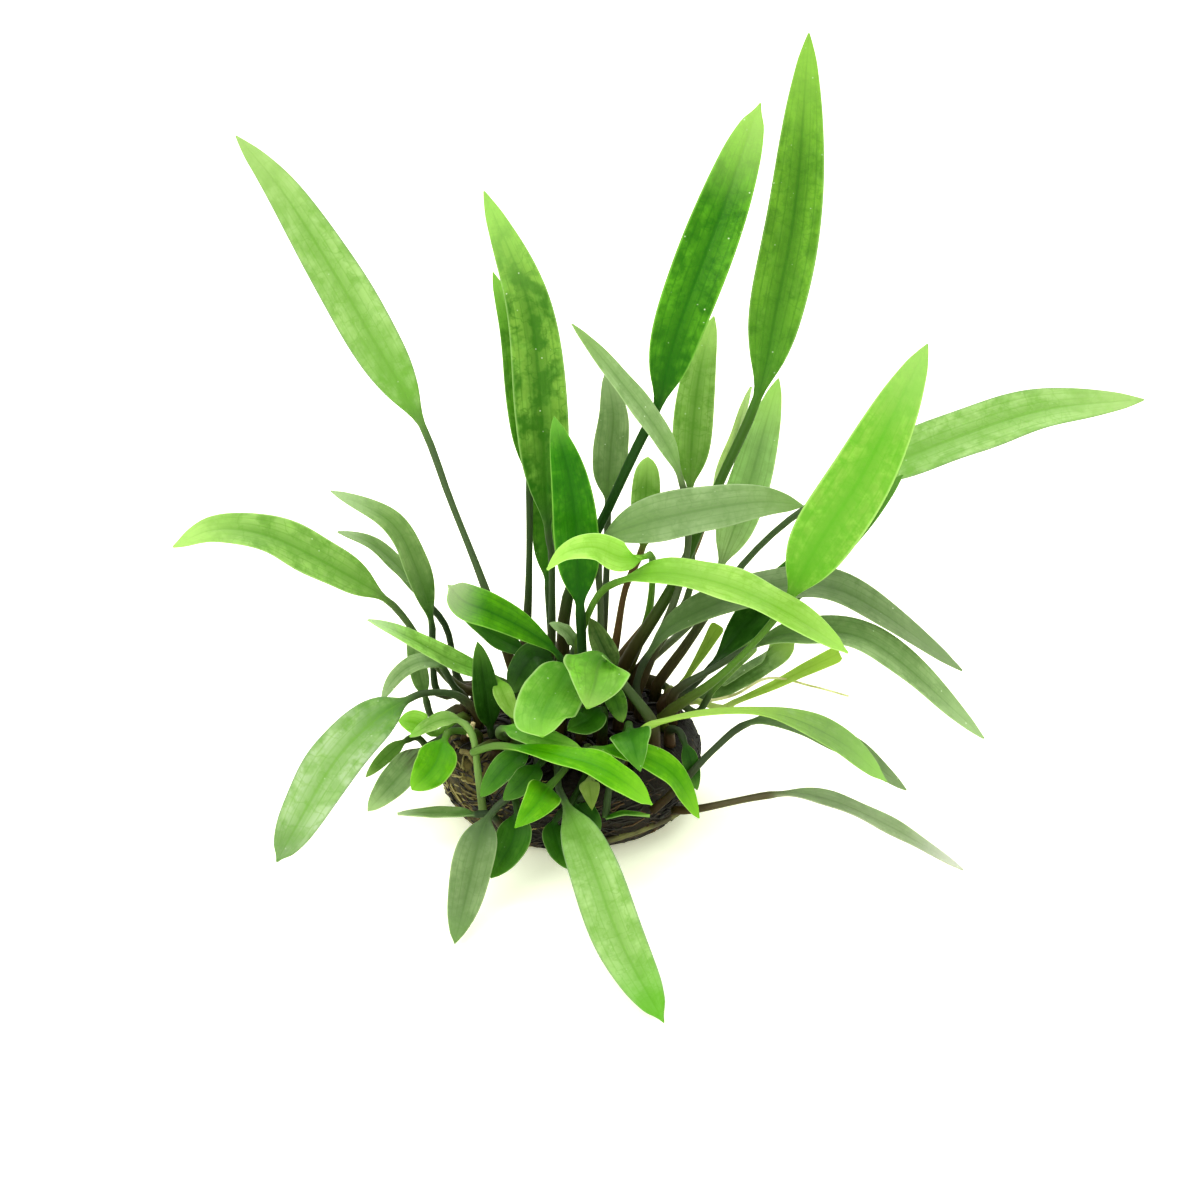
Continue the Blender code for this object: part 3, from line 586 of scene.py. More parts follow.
def leaf_mesh(node, foot, petiole, neck, blade, tip, width, turns, painted_light_and_tone):
    """A foot of two numbers is on the plug's top, where the petiole rises upright from a sheath."""
    on_top = len(foot) == 2
    start = Vector((*foot, PLUG_HEIGHT + FOOT_GAP)) if on_top else Vector(foot)
    lower = [start, start + UP * PETIOLE_RISE] if on_top else [start]
    lower += [place(*p) for p in petiole]
    points = lower + [place(*p) for p in (neck, *blade, tip)]
    route, marks = close_spline(points)
    split = marks[len(lower)]
    stalk, flat = route[: split + 1], route[split:]
    heading = 1 if points[-1].x >= points[len(lower)].x else -1
    first, last = (math.radians(t) * heading for t in turns)
    extra = STOUT_EXTRA_RADIUS if node in STOUT_PETIOLES else 0.0
    sheath = SHEATH_EXTRA_RADIUS if on_top else 0.0
    outline = OUTLINES.get(node, BLADE_OUTLINE)
    fold = FOLDS.get(node)
    waves = [random.uniform(*limits) for limits in (WAVE_DEPTHS, WAVE_COUNTS, WAVE_COUNTS, (0.0, 1.0))]
    own_place = random.uniform(0.0, MOTTLING_LENGTH)

    stations = []
    for i in range(STALK_STATIONS):
        share = i / STALK_STATIONS
        centre, reach = along(stalk, share)
        stations.append((centre, share - 1.0, reach))
    blade_start = along(stalk, 1.0)[1]
    for i in range(BLADE_STATIONS + 1):
        share = 1 - (1 - i / BLADE_STATIONS) ** TIP_CROWDING
        centre, reach = along(flat, share)
        stations.append((centre, share, blade_start + reach))
    centres = [s[0] for s in stations]
    directions = headings(centres)
    if on_top:
        directions[0] = UP
    sides = sideways_of(centres, directions)

    shape = bmesh.new()
    zone = shape.verts.layers.float_vector.new("zone")
    lie = shape.verts.layers.float_vector.new("lie")
    bmesh.ops.create_grid(shape, x_segments=CORNERS_AROUND, y_segments=len(stations) - 1, size=0.5)
    for vert in shape.verts:
        station = round((vert.co.y + 0.5) * (len(stations) - 1))
        turned = (0.5 - vert.co.x) * 2 * math.pi
        centre, growth, reach = stations[station]
        share = max(0.0, growth)
        roll = first + (last - first) * share
        side = sides[station]
        out = side.cross(directions[station])
        sideways = side * math.cos(roll) + out * math.sin(roll)
        outwards = out * math.cos(roll) - side * math.sin(roll)
        radius = extra * (1 - share) + PETIOLE_FOOT_RADIUS
        radius += sheath * (1 - soft_step(growth, -1.0, SHEATH_TOP))
        radius += NECK_FLARE_RADIUS * soft_step(growth, FLARE_START, 0.0)
        radius += (PETIOLE_NECK_RADIUS - PETIOLE_FOOT_RADIUS) * min(1.0, growth + 1.0)
        half = max(width * width_share(outline, share) / 2, LEAST_HALF_WIDTH)
        s_blade, o_blade, across = blade_corner(turned, half, share, waves, fold)
        flatness = soft_step(growth, *BLADE_OPENS)
        s = -radius * math.cos(turned) * (1 - flatness) + s_blade * flatness
        o = radius * math.sin(turned) * (1 - flatness) + o_blade * flatness
        vert[zone] = (across, growth, painted_light_and_tone)
        vert[lie] = (across * half, reach, own_place)
        vert.co = (centre + sideways * s + outwards * o) * MM
    bmesh.ops.remove_doubles(shape, verts=shape.verts, dist=MERGE_DISTANCE)
    bmesh.ops.holes_fill(shape, edges=[e for e in shape.edges if e.is_boundary], sides=CORNERS_AROUND)
    bmesh.ops.recalc_face_normals(shape, faces=shape.faces)
    return shape


def show_piece(name, shape, finish, slot, *nodes):
    """Makes a finished shape a piece of the plant, in place of the CAD nodes that it stands for."""
    mesh = bpy.data.meshes.new(name)
    shape.to_mesh(mesh)
    shape.free()
    mesh.shade_smooth()
    mesh.materials.append(finish)
    piece = bpy.data.objects.new(name, mesh)
    bpy.context.scene.collection.objects.link(piece)
    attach(piece, "root")
    if nodes:
        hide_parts(*nodes)


slots_of = {part["node"]: part["material_slot"] for part in frame["record"]["subparts"]}


def grow(rows):
    """Shapes each leaf of a group and puts it in place of its solid."""
    for *row, finish, painted_light_and_tone in rows:
        node = row[0]
        name = node.removeprefix("leaf_") + "_leaf"
        show_piece(name, leaf_mesh(*row, painted_light_and_tone), leaf_finishes[finish], slots_of[node], node)


# Tall leaves
# The oldest, longest leaves, which stand up and lean out from the middle and right of the crown.
TALL_LEAVES = (
    ("leaf_left_tall", (-9.5, 8), ((-16, 40, 10), (-22.6, 56.8, 12)), (-27.9, 70.8, 14), ((-37.2, 87, 17),
     (-44.2, 99, 20), (-54.4, 115, 23.4)), (-63, 125.3, 26), 9.4, (0, 10), "pale", 0.0),
    ("leaf_inner_tall", (-5.5, 12), ((-3.6, 28.3, 13), (-3.4, 45.3, 14)), (-4.2, 51.7, 14), ((-5.4, 73, 16),
     (-7.9, 94, 18)), (-16.2, 114.9, 22), 9.8, (10, -10), "mottled", 0.0),
    ("leaf_inner_tall_behind", (-9.5, 13.5), ((-7.9, 36.6, 18),), (-7.7, 60.8, 20), ((-9.3, 78, 24),
     (-11, 89, 27)), (-14.5, 99.6, 31), 6.0, (0, 0), "green", -0.1),
    ("leaf_slim_behind", (-1.5, 16), ((-3.4, 30.2, 18),), (-4.2, 41.5, 20), ((-4.7, 54.7, 22),),
     (-4.7, 69.8, 24), 5.2, (0, 20), "green", 0.0),
    ("leaf_middle_upright", (2.8, -1), ((2.4, 26.8, -0.5),), (1.9, 36.8, 0), ((1.2, 49.1, 0.5),
     (0, 60.4, 1.5)), (-3, 72.3, 4), 8.2, (15, -10), "upright", 0.0),
    ("leaf_right_tallest", (8.5, 10.5), ((11.1, 27, 7), (19.8, 41.1, 8), (28.3, 60, 16)), (35.4, 76, 21),
     ((38.9, 92.5, 24), (42.6, 113, 27)), (45.1, 144.7, 30), 10.5, (0, -10), "tall", 0.0),
    ("leaf_second_tallest", (-1, 6.5), ((-0.6, 37.5, 7), (7.2, 54.9, 9), (13.6, 68.5, 10)), (16.6, 74.5, 10),
     ((20.4, 89.1, 12), (28.8, 111.6, 16)), (36, 131.5, 20), 9.9, (-10, 10), "deep", 0.0),
    ("leaf_right_broad", (17.5, -3), ((27.4, 22.6, -4), (36, 31, -5)), (41.5, 38.3, -6), ((47, 48.5, -8),
     (56, 62.8, -10)), (67.5, 86, -12), 11.4, (0, 0), "broad", -0.12),
    ("leaf_right_broad_behind", (17.5, 3), ((22.6, 21, 4),), (27.4, 26, 4.5), ((34, 33.5, 6.5), (42, 41, 8.5),
     (52, 50, 10)), (62.8, 61.3, 11), 8.2, (30, 20), "dark", 0.3),
    ("leaf_far_right", (16, 8.5), ((21.9, 29.2, 11), (32.1, 43.8, 13), (42.1, 53.4, 15)), (52, 59, 16.6),
     ((66, 65.6, 18), (88, 73.2, 20)), (108.3, 75.5, 22), 10.4, (30, 30), "pale", 0.0),
    ("leaf_pale_behind", (12.5, 15.5), ((24.5, 35, 26),), (28.5, 44.3, 29), ((33.6, 59, 32),
     (36.3, 68.5, 34)), (39.4, 79.6, 37), 8.2, (0, 0), "behind", 0.0),
    ("leaf_strip_behind", (8, 17), ((21, 42, 27),), (27, 57, 31), ((31, 67, 34),), (34.2, 78, 37), 5.0,
     (62, 62), "strip", 0.0),
    ("leaf_level_middle", (5.8, 3.2), ((5.8, 36, 3), (5.4, 44, 3)), (6.4, 48.8, 3), ((12, 51.6, 3),
     (24, 54.5, 4), (36, 56.2, 4)), (44, 55.5, 4), 9.0, (20, 10), "hazy", -0.14),
    ("leaf_slanting", (12, 3.6), ((20.6, 40, 5.5), (22.4, 52, 7.4)), (20.7, 61.2, 7.2), ((16.7, 69.3, 6),
     (8.6, 80, 3)), (0.4, 89.8, 0), 5.0, (35, 35), "hazy", 0.0),
    ("leaf_grey_behind", (5.6, 15.5), ((6.8, 40, 18),), (7.2, 56.6, 19), ((7.7, 66, 20), (8.2, 73, 21)),
     (6.8, 80.8, 22), 6.6, (0, 0), "grey", -0.1),
    ("leaf_green_behind", (12, 12.4), ((22, 37.7, 20), (23, 49, 23)), (22.7, 59, 25), ((23.2, 70, 27),
     (24.6, 81, 28)), (27.2, 91.3, 30), 7.6, (0, 10), "fresh", -0.05),
    ("leaf_small_behind", (5.2, 11.5), ((8.1, 27.2, 12), (10.4, 39.6, 15)), (13.8, 47.9, 17),
     ((14.3, 57, 18),), (14.7, 64.7, 19), 5.4, (0, 0), "russet", 0.0),
)
grow(TALL_LEAVES)

# Leaves over the crown
# Leaves of middle length that bend over level just above the crown.
MIDDLE_LEAVES = (
    ("leaf_folded_lime", (10.5, 13.5), ((14.7, 34.3, 12), (15.6, 45.2, 3)), (13.8, 45.9, -2.5),
     ((9.6, 45.9, -5.5), (4.5, 47.6, -7.5), (-0.6, 46.6, -8.5)), (-4.3, 43.4, -9.5), 5.6, (-20, 55), "lime",
     0.15),
    ("leaf_bright_arch", (-1.5, 2), ((2, 31, 2), (5.5, 38.8, 1)), (10.5, 41.6, -2), ((18.3, 42.7, -4.5),
     (30, 40.2, -8), (41.5, 34.9, -12.5)), (52.5, 27.7, -16), 8.8, (48, 48), "lime", 0.0),
    ("leaf_long_grey_arch", (13, 1), ((12.6, 22, 1),), (15, 27.6, 1), ((21, 33.8, 1), (36.8, 39.6, 1),
     (52, 39, 0)), (74, 24.4, -3), 9.2, (50, 45), "grey", -0.25),
    ("leaf_short_dark", (9, -3.5), ((8.8, 21.5, -3),), (8.4, 24.5, -3), ((6, 29.5, -3),), (3.8, 34.3, -3),
     4.4, (0, 0), "bronzed", 0.0),
    ("leaf_wet_curl", (-3.5, 1.5), ((-2.6, 21.6, -1),), (-3.4, 25.8, -2), ((-6.8, 26.8, -3),
     (-9.4, 23.6, -4)), (-11, 19.8, -5), 6.2, (30, 30), "dark", -0.05),
)
grow(MIDDLE_LEAVES)

# Leaves on the left
# Shorter leaves that lean, arch and droop out over the plug's left edge.
LEFT_LEAVES = (
    ("leaf_left_level", (-16, 6.4), ((-20.5, 21, 7), (-25.3, 25.7, 6.2), (-31, 34, 5.5)), (-35, 38, 5),
     ((-45.7, 44.4, 3), (-57.2, 49.8, 1), (-67, 50.9, -1)), (-74.9, 47.7, -2), 9.0, (32, 32), "fresh", 0.0),
    ("leaf_left_curved", (-18, 9.2), ((-24.8, 20, 10), (-25.9, 30, 11.5)), (-26.2, 34, 12), ((-29.2, 44, 12),
     (-34, 52.4, 12)), (-45.1, 58.3, 10), 6.0, (35, 35), "arched", 0.0),
    ("leaf_left_dark", (-14.6, 13.6), ((-20.6, 21.9, 14.5), (-23.2, 32.3, 16.5)), (-27.4, 37.7, 17.5),
     ((-32.8, 44.2, 18), (-38, 48.4, 17)), (-43.8, 50.6, 16), 5.4, (55, 55), "arched", -0.15),
    ("leaf_left_slender", (-8.5, -2.5), ((-10.2, 20.3, -3),), (-13.6, 22.8, -4), ((-21.9, 26, -6),
     (-30.6, 30.6, -8)), (-38.1, 34, -10), 5.6, (50, 50), "slender", 0.0),
    ("leaf_left_grey_arch", (-19.6, 3.6), ((-22, 21.6, 1.5),), (-24.3, 25.2, 0), ((-28.1, 25.9, -2),
     (-32.4, 23.4, -3.5)), (-35.5, 18.9, -5), 4.4, (50, 40), "grey", 0.05),
    ("leaf_left_strip", (-20.2, 0), ((-25.6, 15.5, 2),), (-27.3, 19.5, 2.6), ((-29, 26.5, 2.8),),
     (-30.4, 32.5, 3), 3.4, (0, 0), "grey", 0.1),
    ("leaf_left_drooping", (-17, -2.4), ((-21.5, 19.8, -2.4), (-27, 20.2, -5)), (-30.8, 18.8, -8),
     ((-37, 14.8, -12), (-45, 6.2, -18)), (-55.3, -11.7, -26.5), 9.6, (15, 15), "drooping", 0.0),
    ("leaf_left_wide", (-1.5, -5.5), ((-1.2, 24, -6),), (-2.6, 27.8, -6.5), ((-8, 31.8, -7),
     (-15.1, 35.4, -8), (-20, 37.4, -8.7)), (-23, 40.6, -9), 7.4, (35, 25), "shaded", 0.0),
    ("leaf_left_beneath", (-7, 5), ((-6.2, 24.6, 3.5),), (-8.4, 27.6, 3), ((-14, 30.8, 1.5),),
     (-21.1, 35.8, 0), 5.4, (45, 35), "low", -0.05),
    ("leaf_small_upright", (-13.2, -8.5), ((-14.6, 12, -10),), (-15, 13.5, -10.5), ((-16, 20.5, -11),),
     (-17.4, 29.8, -11.5), 5.0, (15, 15), "dark", 0.0),
    ("leaf_bent_stalk", (-15.2, -20.2, 7.5), ((-17.3, 5, -20), (-18.3, 12, -17)), (-20.8, 14.9, -14),
     ((-24.8, 14.8, -13.5),), (-30.2, 11.9, -14), 3.6, (40, 40), "bent", 0.0),
    ("leaf_speckled_grey", (-18.8, -6.8), ((-25, 11.2, -9),), (-27.5, 9.6, -11), ((-31.2, 5.6, -13),),
     (-38.1, -2.1, -17), 5.8, (10, 10), "bruised", 0.08),
    ("leaf_left_bright_oval", (-16.8, -10.6), ((-22.4, 13, -14.5),), (-23.6, 11.4, -17),
     ((-25.6, 6.4, -19.5),), (-29.8, 1.9, -21.5), 7.2, (10, 10), "vivid", -0.12),
    ("leaf_left_lime_round", (-19.4, -3.4), ((-25, 12.6, -5.5),), (-27.2, 13.4, -6.5), ((-29.4, 14.6, -7.5),),
     (-32.3, 14.9, -8.5), 4.8, (10, 10), "lime", 0.3),
    ("leaf_left_low", (-12, -22.4, 7), ((-15, -2.7, -25),), (-18, -2.7, -24), ((-25, -2.6, -22),),
     (-32.5, -2.6, -21), 4.2, (62, 62), "arched", -0.1),
)
grow(LEFT_LEAVES)

# Leaves at the front
# Short leaves that arch over the plug's front edge, some of them pointing at the viewer.
FRONT_LEAVES = (
    ("leaf_front_rounded", (2.2, -9), ((2, 21.5, -9),), (0.4, 24.6, -12), ((-2.7, 20.5, -19),
     (-5.2, 15.4, -26)), (-5.2, 12, -31.5), 10.6, (5, 5), "rounded", 0.0),
    ("leaf_front_folded", (15.2, -12.8), ((15.3, 15.1, -14), (10.6, 21.2, -12)), (6.4, 26.2, -13),
     ((5.3, 24.9, -16), (4.7, 21.8, -20.8)), (3.3, 17.3, -26), 12.2, (0, 0), "folded", 0.0),
    ("leaf_front_bright_arch", (-13.2, -14.8), ((-18.2, 9, -22), (-14.3, 10.2, -26)), (-10.6, 9.9, -29),
     ((-4.5, 8.8, -31.5), (4, 6.6, -34), (10, 3.4, -35)), (15.5, -0.9, -35), 6.6, (50, 40), "vivid", 0.0),
    ("leaf_front_wet", (-10.5, -12.5), ((-13.4, 12.2, -17.5),), (-12.2, 13.5, -21), ((-5, 11.5, -25),),
     (2.1, 9.7, -26.5), 4.8, (35, 35), "rounded", 0.05),
    ("leaf_front_right_arch", (3.5, -16.5), ((3.2, 9, -22),), (5.6, 9.6, -25), ((13, 8.3, -26),
     (19.6, 4.5, -25)), (24.3, -3.4, -24), 6.0, (50, 35), "vivid", 0.0),
    ("leaf_front_notched", (9.5, -17), ((11, 14.2, -20.5),), (11.3, 13, -23.6), ((12.2, 9.6, -28.5),),
     (13.3, 5.4, -31), 7.4, (0, 0), "low", 0.3),
    ("leaf_front_small_left", (-9.8, -14.6), ((-8.6, 10.4, -22.5),), (-8, 9.4, -25), ((-12.4, 5.9, -27.6),),
     (-16.8, 0.6, -29), 5.0, (25, 25), "low", 0.05),
    ("leaf_front_small_right", (-3, -15.2), ((-4.2, 8.4, -24),), (-6, 6.4, -28.5), ((-9, 3, -31.8),),
     (-12.5, 0, -33.5), 4.8, (25, 25), "low", -0.2),
    ("leaf_front_heart", (1.6, -17.5), ((-1.6, 5, -26.5),), (-4, 2.4, -32.5), ((-6.5, -1, -36),),
     (-10.4, -5.3, -38), 6.4, (0, 0), "heart", -0.08),
    ("leaf_front_long", (-1.8, -18.6), ((-2.2, 2.8, -26.5),), (-0.7, -0.8, -30), ((4.2, -12.3, -43),
     (9.5, -26.6, -58)), (17.7, -41.9, -76), 8.8, (0, 0), "long", 0.02),
    ("leaf_front_left_grey", (-5.4, -12.5), ((-6.8, 4.4, -27.5), (-12, 0.2, -30.5)), (-15.2, -3.1, -32),
     ((-17.4, -9, -37.5), (-19.8, -19.4, -45.5)), (-21.7, -27, -53), 7.2, (15, 10), "smoky", -0.16),
    ("leaf_front_under", (-9.6, -18), ((-10.6, 2, -26.5),), (-9.9, -2.4, -29.2), ((-10.9, -8, -33),),
     (-14.9, -14.7, -37.5), 6.2, (10, 10), "low", 0.0),
    ("leaf_front_low_dark", (5.2, -18.2), ((0.8, 0.4, -27.5),), (-2.8, -4, -30), ((-2.4, -8, -33),),
     (-0.4, -13, -37), 4.8, (10, 10), "low", -0.25),
    ("leaf_front_hidden", (6, -12), ((6.6, 16, -15),), (5.6, 17, -18), ((3.4, 14.8, -21),), (-0.4, 13.2, -24),
     5.4, (20, 20), "low", -0.1),
)
grow(FRONT_LEAVES)

# Leaves on the right
# Long arching leaves and narrow young ones that leave low on the plug's right side.
RIGHT_LEAVES = (
    ("leaf_right_lower_arch", (19, -0.5), ((20, 20.6, -0.5), (27.4, 25, -1)), (34.5, 29, -2),
     ((43.4, 31.4, -3), (57.7, 29.2, -5)), (78.1, 11.6, -8), 8.3, (50, 45), "grey", 0.1),
    ("leaf_right_pair_back", (15, -20.6, 9), ((20, 1.9, -21), (26.8, 9.2, -18)), (34, 14.6, -16),
     ((43.4, 13.9, -14), (53.2, 9.4, -12)), (63.4, 1.9, -10), 6.8, (55, 45), "grey", -0.2),
    ("leaf_right_pair_front", (12.2, -15.8), ((13, 12.4, -20),), (16.6, 14.6, -21), ((28.3, 16.6, -21),
     (39.6, 15.9, -21), (50.9, 10.9, -21)), (59.8, 3.4, -21), 6.2, (70, 30), "turned", 0.0),
    ("leaf_far_right_low", (19, -16.8, 7), ((24, -1.7, -20),), (39.2, 1.1, -22), ((48.7, -0.1, -24),
     (60, -5, -26)), (74.2, -13.2, -28.5), 5.4, (60, 52), "faded", 0.0),
    ("leaf_right_olive", (18.9, 6.4), ((28.3, 17.4, 8),), (31, 18.4, 8.4), ((38.5, 21.6, 9.5),
     (45, 24.8, 10.4)), (51, 27.6, 11), 3.3, (20, 20), "olive", 0.15),
    ("leaf_right_dark_broad", (15.6, 12.6), ((22, 19, 12),), (25.4, 19.6, 12.5), ((33, 24.6, 14),),
     (42.3, 29.8, 16), 6.8, (20, 20), "patched", 0.15),
    ("leaf_right_narrow_olive", (19.8, 2.8), ((24, 16.6, 4),), (26.5, 20, 4.5), ((30.2, 24.4, 5),),
     (34.6, 29.4, 6), 2.8, (10, 10), "fresh", -0.28),
    ("leaf_right_narrow_lime", (18.7, 8.2), ((20, 20.4, 10),), (21.6, 22.5, 10.3), ((24.8, 27.4, 11),),
     (28.1, 33, 12), 2.8, (10, 10), "olive", 0.0),
)
grow(RIGHT_LEAVES)

# Small leaves
# Small leaves and leaf ends low in the clump, too small to be solids of their own. Each grows from the crown
# like the others.
SMALL_LEAVES = (
    ("far_left_small_leaf", (-24.8, -3, 9.5), ((-28.4, 11.6, -6),), (-31.1, 11.1, -8), ((-34.5, 8.4, -10),),
     (-38.5, 4.3, -12), 2.7, (10, 10), "fresh", -0.2, "lime_leaf"),
    ("wet_lime_leaf", (-9.2, -7.4), ((-13.6, 21.4, -8.5),), (-13.6, 22.6, -9.5), ((-12.4, 19.6, -11.5),),
     (-10.2, 15.2, -13.5), 3.6, (10, 10), "lime", -0.1, "lime_leaf"),
    ("pale_fold_leaf", (1.4, 2.4), ((0.6, 27, 2),), (0.9, 29, 2), ((-0.8, 31.6, 2),), (-3.8, 33.4, 2), 3.2,
     (40, 40), "grey", 0.2, "grey_green_leaf"),
    ("hanging_back_leaf", (5.5, -7.5), ((7.4, 21.8, -9),), (7.3, 21.4, -11.5), ((8.7, 18.6, -13.5),),
     (10, 14.6, -15.5), 3.9, (0, 0), "green", -0.2, "green_leaf"),
    ("low_front_dark_leaf", (8.3, -17.6), ((3.6, 1.6, -26.5),), (1.2, -0.4, -27.5), ((3, -3, -29),),
     (5.8, -5.6, -31), 4.6, (20, 20), "dark", 0.1, "dark_leaf"),
    ("low_front_thin_leaf", (11.5, -15.4), ((8, 4.4, -25.5), (6.8, -2.6, -26.8)), (6.6, -3.4, -27.2),
     ((10.5, -2.6, -27.6),), (15.1, -3, -27.8), 1.8, (62, 62), "green", -0.1, "green_leaf"),
    ("hanging_tip_leaf", (3.4, -19.4), ((4.2, 4.4, -25),), (3.6, 3.6, -27), ((3.9, 1.4, -28.2),),
     (4.2, -1.9, -29.4), 3.6, (0, 0), "olive", -0.35, "olive_leaf"),
    ("right_small_dark_leaf", (18.3, -9.4), ((20.6, 13, -15),), (21.7, 10.6, -17.5), ((22.9, 6.6, -18.6),),
     (24, 1.9, -19.4), 3.0, (10, 10), "dark", 0.3, "dark_leaf"),
)
for name, *row, finish, painted_light_and_tone, slot in SMALL_LEAVES:
    show_piece(name, leaf_mesh(name, *row, painted_light_and_tone), leaf_finishes[finish], slot)

# Root plug
# A low round plug of rooting wool, full of soil and old roots. It is dark brown, and its colours are darkened
# further as painted shade for the shade it sits in under the leaves. Its left side is paler, partly yellowish
# wool and partly painted light where the lamp falls on it. It is cut flat underneath.
PLUG_TOP_RADIUS = 21.5
PLUG_RADIUS = 24.2
PLUG_FOOT_RADIUS = 18.5
PLUG_PROFILE = (
    (0.0, 16.0), (10.0, 16.0), (18.0, 16.0), (PLUG_TOP_RADIUS, 15.7), (23.3, 14.6), (PLUG_RADIUS, 12.4),
    (PLUG_RADIUS, 9.6), (24.0, 7.0), (23.3, 4.2), (21.6, 1.8), (PLUG_FOOT_RADIUS, 0.0), (9.0, 0.0),
    (0.0, 0.0),
)
PLUG_SIDE = PLUG_PROFILE[3:11]
PLUG_STEPS_ROUND = 120
WOOL_LUMPS = 0.55
WOOL_LUMPS_PER_M = 160.0
WOOL_BULGE_LIMIT = 0.25
FLAT_BELOW = 0.05
TOP_ABOVE = 15.0
LUMPS_FULL_AT = 2.0
# Where the wool turns paler on the left, partly as painted light
PALE_AND_LIT_SIDE = (-0.02, -0.006)


def wool_finish():
    material, tree, shader = plain_finish("root wool", colour(60, 42, 22), 0.85)
    coordinates = node_of(tree, "ShaderNodeTexCoord").outputs["Object"]
    side = node_of(tree, "ShaderNodeSeparateXYZ")
    feed(tree, coordinates, side.inputs["Vector"])
    strands = soft_noise(tree, coordinates, 420.0, 6.0, 1.6)
    clumps = soft_noise(tree, coordinates, 110.0, 3.0)
    # The dark browns of the wool are partly its own colour and partly painted shade. The paler colour on the
    # left is partly yellowish wool and partly painted light.
    wool = blended(tree, steps_between(tree, clumps, 0.42, 0.62), colour(18, 15, 8), colour(42, 32, 15))
    paler_and_lit_left = fading(tree, side.outputs["X"], *PALE_AND_LIT_SIDE)
    wool = marked(tree, wool, paler_and_lit_left, steps_between(tree, clumps, 0.35, 0.6), colour(100, 90, 44))
    wool = blended(tree, steps_between(tree, strands, 0.42, 0.74), wool, colour(18, 13, 7))
    feed(tree, wool, shader.inputs["Base Color"])
    relief(tree, shader, strands, 0.9, 0.0006)
    return material


plug_shape = bmesh.new()
profile = [plug_shape.verts.new((radius * MM, 0.0, height * MM)) for radius, height in PLUG_PROFILE]
edges = [plug_shape.edges.new(pair) for pair in zip(profile, profile[1:])]
bmesh.ops.subdivide_edges(plug_shape, edges=edges, cuts=3)
bmesh.ops.spin(
    plug_shape, geom=plug_shape.verts[:] + plug_shape.edges[:], cent=(0, 0, 0), axis=(0, 0, 1),
    dvec=(0, 0, 0), angle=math.radians(360.0), steps=PLUG_STEPS_ROUND, use_merge=True, use_duplicate=False)
bmesh.ops.remove_doubles(plug_shape, verts=plug_shape.verts, dist=1e-6)
for vert in plug_shape.verts:
    height = vert.co.z / MM
    if height < FLAT_BELOW:
        continue
    lumps = min(noise.fractal(vert.co * WOOL_LUMPS_PER_M, 0.9, 2.1, 4) * WOOL_LUMPS, WOOL_BULGE_LIMIT)
    outwards = Vector((vert.co.x, vert.co.y, 0.0)).normalized() if height < TOP_ABOVE else UP
    vert.co += outwards * lumps * MM * min(1.0, height / LUMPS_FULL_AT)
bmesh.ops.recalc_face_normals(plug_shape, faces=plug_shape.faces)
show_piece("wool_plug", plug_shape, wool_finish(), "root_wool", "root_plug")

# Roots
# Fine roots wind round the plug and hold the wool together, dark and brown ones all round and pale ones on
# the left. The colours of the dark and brown ones are partly their own and partly painted shade.
ROOT_CORNERS = 5
ROOT_STATIONS = 14
ROOT_HEIGHTS = (1.5, 15.0)
LOWEST_ROOT = 0.9
HIGHEST_ROOT = 15.4
ROOT_DRIFTS = (-0.9, 0.5)
ROOT_TURNS = (0.02, 0.06)
ROOT_RADII = (0.12, 0.3)
ROOT_STANDS_OUT = (-0.25, 0.2)
ROOT_WOBBLE = 0.35
ROOT_TURN_WOBBLE = 0.015
ALL_ROUND = (0.0, 2 * math.pi)
LEFT_SIDE = (math.radians(150), math.radians(250))


def tube(shape, route, radius, taper=0.5):
    """A thin round strand along a route, thinner by the taper at its far end, with both ends still open."""
    directions = headings(route)
    side = directions[0].cross(UP if abs(directions[0].z) < 0.9 else Vector((1, 0, 0))).normalized()
    sides = []
    for direction in directions:
        side = (side - direction * side.dot(direction)).normalized()
        sides.append(side)
    made = bmesh.ops.create_grid(shape, x_segments=ROOT_CORNERS, y_segments=len(route) - 1, size=0.5)["verts"]
    for vert in made:
        station = round((vert.co.y + 0.5) * (len(route) - 1))
        turned = (vert.co.x + 0.5) * 2 * math.pi
        out = sides[station].cross(directions[station])
        reach = radius * (1 - taper * station / (len(route) - 1))
        vert.co = (route[station] + (sides[station] * math.cos(turned) + out * math.sin(turned)) * reach) * MM
    bmesh.ops.remove_doubles(shape, verts=made, dist=MERGE_DISTANCE)


def close_ends(shape):
    bmesh.ops.holes_fill(shape, edges=[e for e in shape.edges if e.is_boundary], sides=ROOT_CORNERS + 1)
    bmesh.ops.recalc_face_normals(shape, faces=shape.faces)


def plug_radius_at(height):
    """How far the plug's side stands from its middle at a height."""
    for (wide, above), (narrow, below) in zip(PLUG_SIDE, PLUG_SIDE[1:]):
        if height >= below:
            return narrow + (wide - narrow) * (height - below) / (above - below)
    return PLUG_FOOT_RADIUS


def root_finish(name, thin, thick):
    """A root's colour changes along it, as old skin gives way to new."""
    material, tree, shader = plain_finish(name, thin, 0.6)
    coordinates = node_of(tree, "ShaderNodeTexCoord").outputs["Object"]
    change = soft_noise(tree, coordinates, 260.0, 3.0)
    skin = blended(tree, steps_between(tree, change, 0.4, 0.62), thin, thick)
    feed(tree, skin, shader.inputs["Base Color"])
    relief(tree, shader, change, 0.5, 0.0001)
    return material
